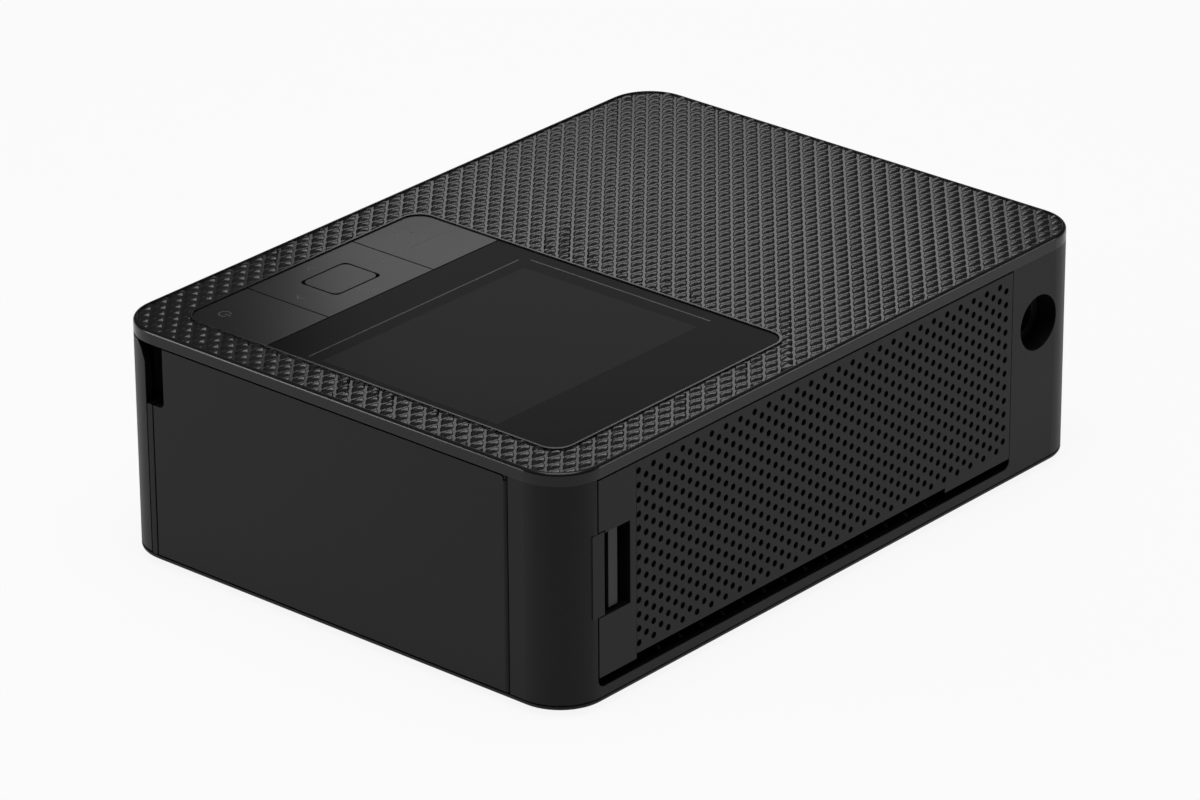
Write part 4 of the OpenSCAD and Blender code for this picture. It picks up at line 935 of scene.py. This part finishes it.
@dataclass
class ControlPanel:
    """Display area, the painted highlight lines round it and the plain marks of the keys.

    All places are in plan, in millimetres from the case's middle.

    Attributes:
        display: Low and high corner of the display area.
        highlight_y: Place of the painted highlight line in front of the display, a lighter strip
            that stands in for the lit wall of the display's recess.
        highlight_x: Place of the painted highlight line beside the display, which stands in for
            the recess's lit side wall.
        highlight_overrun: How far the painted highlight line beside it runs past the display's
            front edge.
        highlight_start: Where the painted highlight line in front of the display starts.
        line: Width of the painted highlight lines, of the rocker's divider and of the return
            mark's lines.
        display_proud: How far the display area stands over the glass.
        power: Centre of the power mark.
        power_radius: Radius of its ring.
        power_gap: First and last angle of its ring, in degrees.
        power_bar: Low and high end of its bar, from its centre.
        back: Centre of the return mark's bend.
        back_radius: Radius of the bend.
        back_tail: How far its lower line runs from the bend.
        back_head: How far the arrow's tip is from the bend, and how far its barbs reach back.
        back_neck: How far the upper line stops behind the tip.
        back_steps: Chords of the bend.
        divider: Left and right end of the rocker's divider, and its place along.
        chevrons: Centre and turn in degrees of each direction mark.
        chevron_tips: A direction mark that points along X.
        chevron_line: Width of a direction mark.
    """

    display: tuple[Plan, Plan] = ((10.9, -15.3), (77.8, 36.0))
    highlight_y: float = -19.0
    highlight_x: float = 6.8
    highlight_overrun: float = 1.7
    highlight_start: float = 8.4
    line: float = 0.3
    display_proud: float = 0.006 * MM
    power: Plan = (73.1, -49.0)
    power_radius: float = 1.35
    power_gap: Plan = (125.0, 415.0)
    power_bar: Plan = (0.1, 1.9)
    back: Plan = (15.0, -49.0)
    back_radius: float = 0.9
    back_tail: float = 2.7
    back_head: Plan = (2.7, 1.2)
    back_neck: float = 0.1
    back_steps: int = 8
    divider: tuple[float, float, float] = (6.5, 21.5, -42.5)
    chevrons: tuple[tuple[Plan, float], ...] = (
        ((42.4, -32.8), 90.0),
        ((29.0, -42.4), 180.0),
        ((55.9, -42.4), 0.0),
        ((42.4, -51.8), -90.0),
    )
    chevron_tips: tuple[Plan, ...] = ((-0.5, 1.1), (0.6, 0.0), (-0.5, -1.1))
    chevron_line: float = 0.4

    def prints_and_highlights(self) -> tuple[PrintAndHighlight, ...]:
        """Everything that is laid on the glass and the keys: print, the display area and the
        painted highlight lines.

        Returns:
            The strips, each with the node that it lies on and the body that it rides on.
        """
        glass, power, rocker, pad = "display_glass", "power_button", "menu_rocker", "nav_pad"
        left, right, along = self.divider
        divider = Stroke(((left, along), (right, along)), self.line)
        marks = tuple(self._chevron(centre, turn) for centre, turn in self.chevrons)
        return (
            PrintAndHighlight(
                "display_window",
                glass,
                CASE,
                DISPLAY_DARK,
                self._window(),
                proud=self.display_proud,
            ),
            # Painted highlight: lighter grey lines that stand in for the lit walls of the
            # display's recess.
            PrintAndHighlight("panel_lines", glass, CASE, HIGHLIGHT_AND_LINE_GREY, self._highlight_lines()),
            PrintAndHighlight("power_mark", power, power, MARK_GREY, self._power_mark()),
            PrintAndHighlight("back_mark", rocker, rocker, MARK_GREY, self._back_mark()),
            PrintAndHighlight("rocker_divider", rocker, rocker, HIGHLIGHT_AND_LINE_GREY, (divider,)),
            PrintAndHighlight("direction_marks", pad, pad, MARK_GREY, marks),
        )

    def _window(self) -> tuple[Stroke, ...]:
        """The display area, as one broad line."""
        (x0, y0), (x1, y1) = self.display
        return (Stroke(((x0, (y0 + y1) / 2), (x1, (y0 + y1) / 2)), y1 - y0),)

    def _highlight_lines(self) -> tuple[Stroke, ...]:
        """The painted highlight lines in front of the display and beside it: lighter grey strips
        that stand in for the lit walls of the display's recess.

        Returns:
            The two lines.
        """
        (_, y0), (x1, y1) = self.display
        front = ((self.highlight_start, self.highlight_y), (x1, self.highlight_y))
        beside = ((self.highlight_x, y0 - self.highlight_overrun), (self.highlight_x, y1))
        return Stroke(front, self.line), Stroke(beside, self.line)

    def _power_mark(self) -> tuple[Stroke, ...]:
        """An open ring with a bar in its gap.

        Returns:
            The ring and the bar.
        """
        x, y = self.power
        low, high = self.power_bar
        ring = arc(self.power, self.power_radius, *self.power_gap)
        return Stroke(ring), Stroke(((x, y + low), (x, y + high)))

    def _back_mark(self) -> tuple[Stroke, ...]:
        """An arrow that bends back on itself.

        Returns:
            The shaft and the arrow's barbs.
        """
        x, y = self.back
        r = self.back_radius
        tip, barb = self.back_head
        bend = arc(self.back, r, -90, 90, self.back_steps)
        tail_end, neck = x - self.back_tail, x - tip + self.back_neck
        shaft = ((tail_end, y - r), (x, y - r)) + bend + ((neck, y + r),)
        barbs = ((x - tip + barb, y + 2 * r), (x - tip, y + r), (x - tip + barb, y))
        return Stroke(shaft, self.line), Stroke(barbs, self.line)

    def _chevron(self, centre: Plan, turn: float) -> Stroke:
        """A direction mark that points along its turn.

        Args:
            centre: Its centre.
            turn: Its turn, in degrees.

        Returns:
            The mark.
        """
        c, s = math.cos(math.radians(turn)), math.sin(math.radians(turn))
        points = ((a * c - b * s, a * s + b * c) for a, b in self.chevron_tips)
        return Stroke(tuple((centre[0] + x, centre[1] + y) for x, y in points), self.chevron_line)

    def build(self) -> None:
        """Lays every print, the display area and the painted highlight lines."""
        for item in self.prints_and_highlights():
            item.build()


# ---------------------------------------------------------------- nodes of the frame


@dataclass
class Dressing:
    """Gives each node of the frame the finish of its material slot."""

    record: dict
    special: dict[str, Finish] = field(default_factory=dict)

    def build(self, nodes: dict[str, bpy.types.Object]) -> None:
        """Puts a finish on every node.

        Args:
            nodes: The frame's nodes by name.
        """
        slots = {part["node"]: part["material_slot"] for part in self.record["subparts"]}
        for name, obj in nodes.items():
            finish = self.special.get(name) or SLOT_FINISH[slots[name]]
            obj.data.materials.clear()
            obj.data.materials.append(finish.material())


# ---------------------------------------------------------------- studio


@dataclass
class Lamp:
    """One soft area lamp: its place, aim and size in metres, and its power in watts."""

    name: str
    place: Point
    aim: Point
    size: Plan
    power: float


@dataclass
class Studio:
    """Camera, floor, world and lamps.

    Attributes:
        lens: Focal length, in millimetres.
        sensor: Width of the sensor, in millimetres.
        azimuth: Turn of the camera round the object from the front, in degrees.
        elevation: Its height over the horizon, in degrees.
        roll: Its roll, in degrees.
        distance: How far it stands from the target.
        slide: How far it stands to the side.
        lift: How far it stands up.
        target: The point that it looks at, before the slide and the lift.
        clip: Nearest and farthest point that it sees.
        floor_half: Half of the floor's side.
        floor_colour: Colour of the floor under the lamps.
        seen_glow: Share of plain white that the camera sees in the floor.
        mirrored_glow: Share of plain white that gloss and glass show of it.
        sky_start: Height in the sky, of 1, above which it brightens.
        sky_low: Strength of the low sky.
        sky_high: Strength of the sky overhead.
        lamps: The lamps.
    """

    lens: float = 187.95
    sensor: float = 36.0
    azimuth: float = 130.8967
    elevation: float = 24.7283
    roll: float = -0.3488
    distance: float = 1423.06 * MM
    slide: float = -1.7326 * MM
    lift: float = -4.7891 * MM
    target: Point = (0.0, 0.0, 30.3 * MM)
    clip: Plan = (0.05, 20.0)
    floor_half: float = 2.5
    floor_colour: Colour = (0.82, 0.82, 0.82)
    seen_glow: float = 0.9
    mirrored_glow: float = 0.5
    sky_start: float = 0.35
    sky_low: float = 0.06
    sky_high: float = 0.3
    lamps: tuple[Lamp, ...] = (
        Lamp("back_strip", (-0.353, -0.280, 0.26), (0.0, 0.0, 0.055), (0.22, 0.12), 0.15),
        Lamp("top_box", (0.1, 0.1, 0.9), (0.0, 0.0, 0.0), (0.6, 0.6), 5.0),
        Lamp("left_box", (0.62, -0.52, 0.14), (0.05, 0.0, 0.03), (0.25, 0.25), 2.0),
        Lamp("right_box", (-0.52, 0.62, 0.14), (0.0, 0.05, 0.03), (0.25, 0.25), 0.8),
    )

    def build(self) -> None:
        """Makes everything that surrounds the object."""
        self._camera()
        self._floor()
        self._world()
        for lamp in self.lamps:
            self._lamp(lamp)
        bpy.context.scene.view_settings.view_transform = "Standard"

    def _camera(self) -> None:
        """Puts the camera at the photograph's viewpoint."""
        azimuth, elevation = math.radians(self.azimuth), math.radians(self.elevation)
        back = Vector(
            (
                math.sin(azimuth) * math.cos(elevation),
                -math.cos(azimuth) * math.cos(elevation),
                math.sin(elevation),
            )
        )
        right = Vector((math.cos(azimuth), math.sin(azimuth), 0.0))
        up = back.cross(right)
        turn = math.radians(self.roll)
        across = right * math.cos(turn) + up * math.sin(turn)
        upward = up * math.cos(turn) - right * math.sin(turn)
        place = back * self.distance + right * self.slide + up * self.lift + Vector(self.target)
        data = bpy.data.cameras.new("camera")
        data.lens, data.sensor_width = self.lens, self.sensor
        data.clip_start, data.clip_end = self.clip
        camera = bpy.data.objects.new("camera", data)
        bpy.context.scene.collection.objects.link(camera)
        turned = Matrix((across, upward, back)).transposed()
        camera.matrix_world = Matrix.Translation(place) @ turned.to_4x4()
        bpy.context.scene.camera = camera

    def _floor(self) -> None:
        """Lays a plain pale floor that keeps the object's shadow."""
        half = self.floor_half

        def square(bm: bmesh.types.BMesh) -> None:
            """Adds one big square."""
            ways = ((-1, -1), (1, -1), (1, 1), (-1, 1))
            bm.faces.new([bm.verts.new((x * half, y * half, 0.0)) for x, y in ways])

        mesh = mesh_of("floor", square)
        floor = bpy.data.objects.new("floor", mesh)
        bpy.context.scene.collection.objects.link(floor)
        material = bpy.data.materials.new("pale_floor")
        material.use_nodes = True
        wiring = Wiring(material.node_tree)
        material.node_tree.nodes.clear()
        paint = wiring.add("ShaderNodeBsdfDiffuse")
        paint.inputs["Color"].default_value = (*self.floor_colour, 1.0)
        glow = wiring.add("ShaderNodeEmission")
        path = wiring.add("ShaderNodeLightPath")
        rays = path.outputs
        mirrored = wiring.math("MAXIMUM", rays["Is Glossy Ray"], rays["Is Transmission Ray"])
        share = wiring.math(
            "MAXIMUM",
            wiring.math("MULTIPLY", rays["Is Camera Ray"], self.seen_glow),
            wiring.math("MULTIPLY", mirrored, self.mirrored_glow),
        )
        mix = wiring.add("ShaderNodeMixShader")
        wiring.put(share, mix.inputs[0])
        wiring.put(paint.outputs[0], mix.inputs[1])
        wiring.put(glow.outputs[0], mix.inputs[2])
        out = wiring.add("ShaderNodeOutputMaterial")
        wiring.put(mix.outputs[0], out.inputs["Surface"])
        mesh.materials.append(material)

    def _world(self) -> None:
        """Surrounds the scene with soft grey light, brighter overhead."""
        world = bpy.data.worlds.new("studio")
        bpy.context.scene.world = world
        world.use_nodes = True
        wiring = Wiring(world.node_tree)
        background = world.node_tree.nodes["Background"]
        split = wiring.add("ShaderNodeSeparateXYZ")
        wiring.put(wiring.add("ShaderNodeTexCoord").outputs["Generated"], split.inputs[0])
        ramp = wiring.add("ShaderNodeMapRange")
        wiring.put(split.outputs["Z"], ramp.inputs["Value"])
        ramp.inputs["From Min"].default_value = self.sky_start
        ramp.inputs["From Max"].default_value = 1.0
        ramp.inputs["To Min"].default_value = self.sky_low
        ramp.inputs["To Max"].default_value = self.sky_high
        wiring.put(ramp.outputs[0], background.inputs["Strength"])
        background.inputs["Color"].default_value = (1.0, 1.0, 1.0, 1.0)

    @staticmethod
    def _lamp(lamp: Lamp) -> None:
        """Hangs one lamp, aimed at its point.

        Args:
            lamp: The lamp.
        """
        data = bpy.data.lights.new(lamp.name, "AREA")
        data.shape = "RECTANGLE"
        data.size, data.size_y = lamp.size
        data.energy = lamp.power
        obj = bpy.data.objects.new(lamp.name, data)
        bpy.context.scene.collection.objects.link(obj)
        obj.location = lamp.place
        aim = Vector(lamp.aim) - Vector(lamp.place)
        obj.rotation_mode = "QUATERNION"
        obj.rotation_quaternion = aim.to_track_quat("-Z", "Y")


def main() -> None:
    """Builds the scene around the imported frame."""
    logging.basicConfig(level=logging.INFO, format="%(name)s: %(message)s")
    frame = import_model()
    Studio().build()
    Dressing(frame["record"], {"top_cover": COVER_BLACK}).build(frame["nodes"])
    EmbossedCover().build()
    ControlPanel().build()


if __name__ == "__main__":
    main()
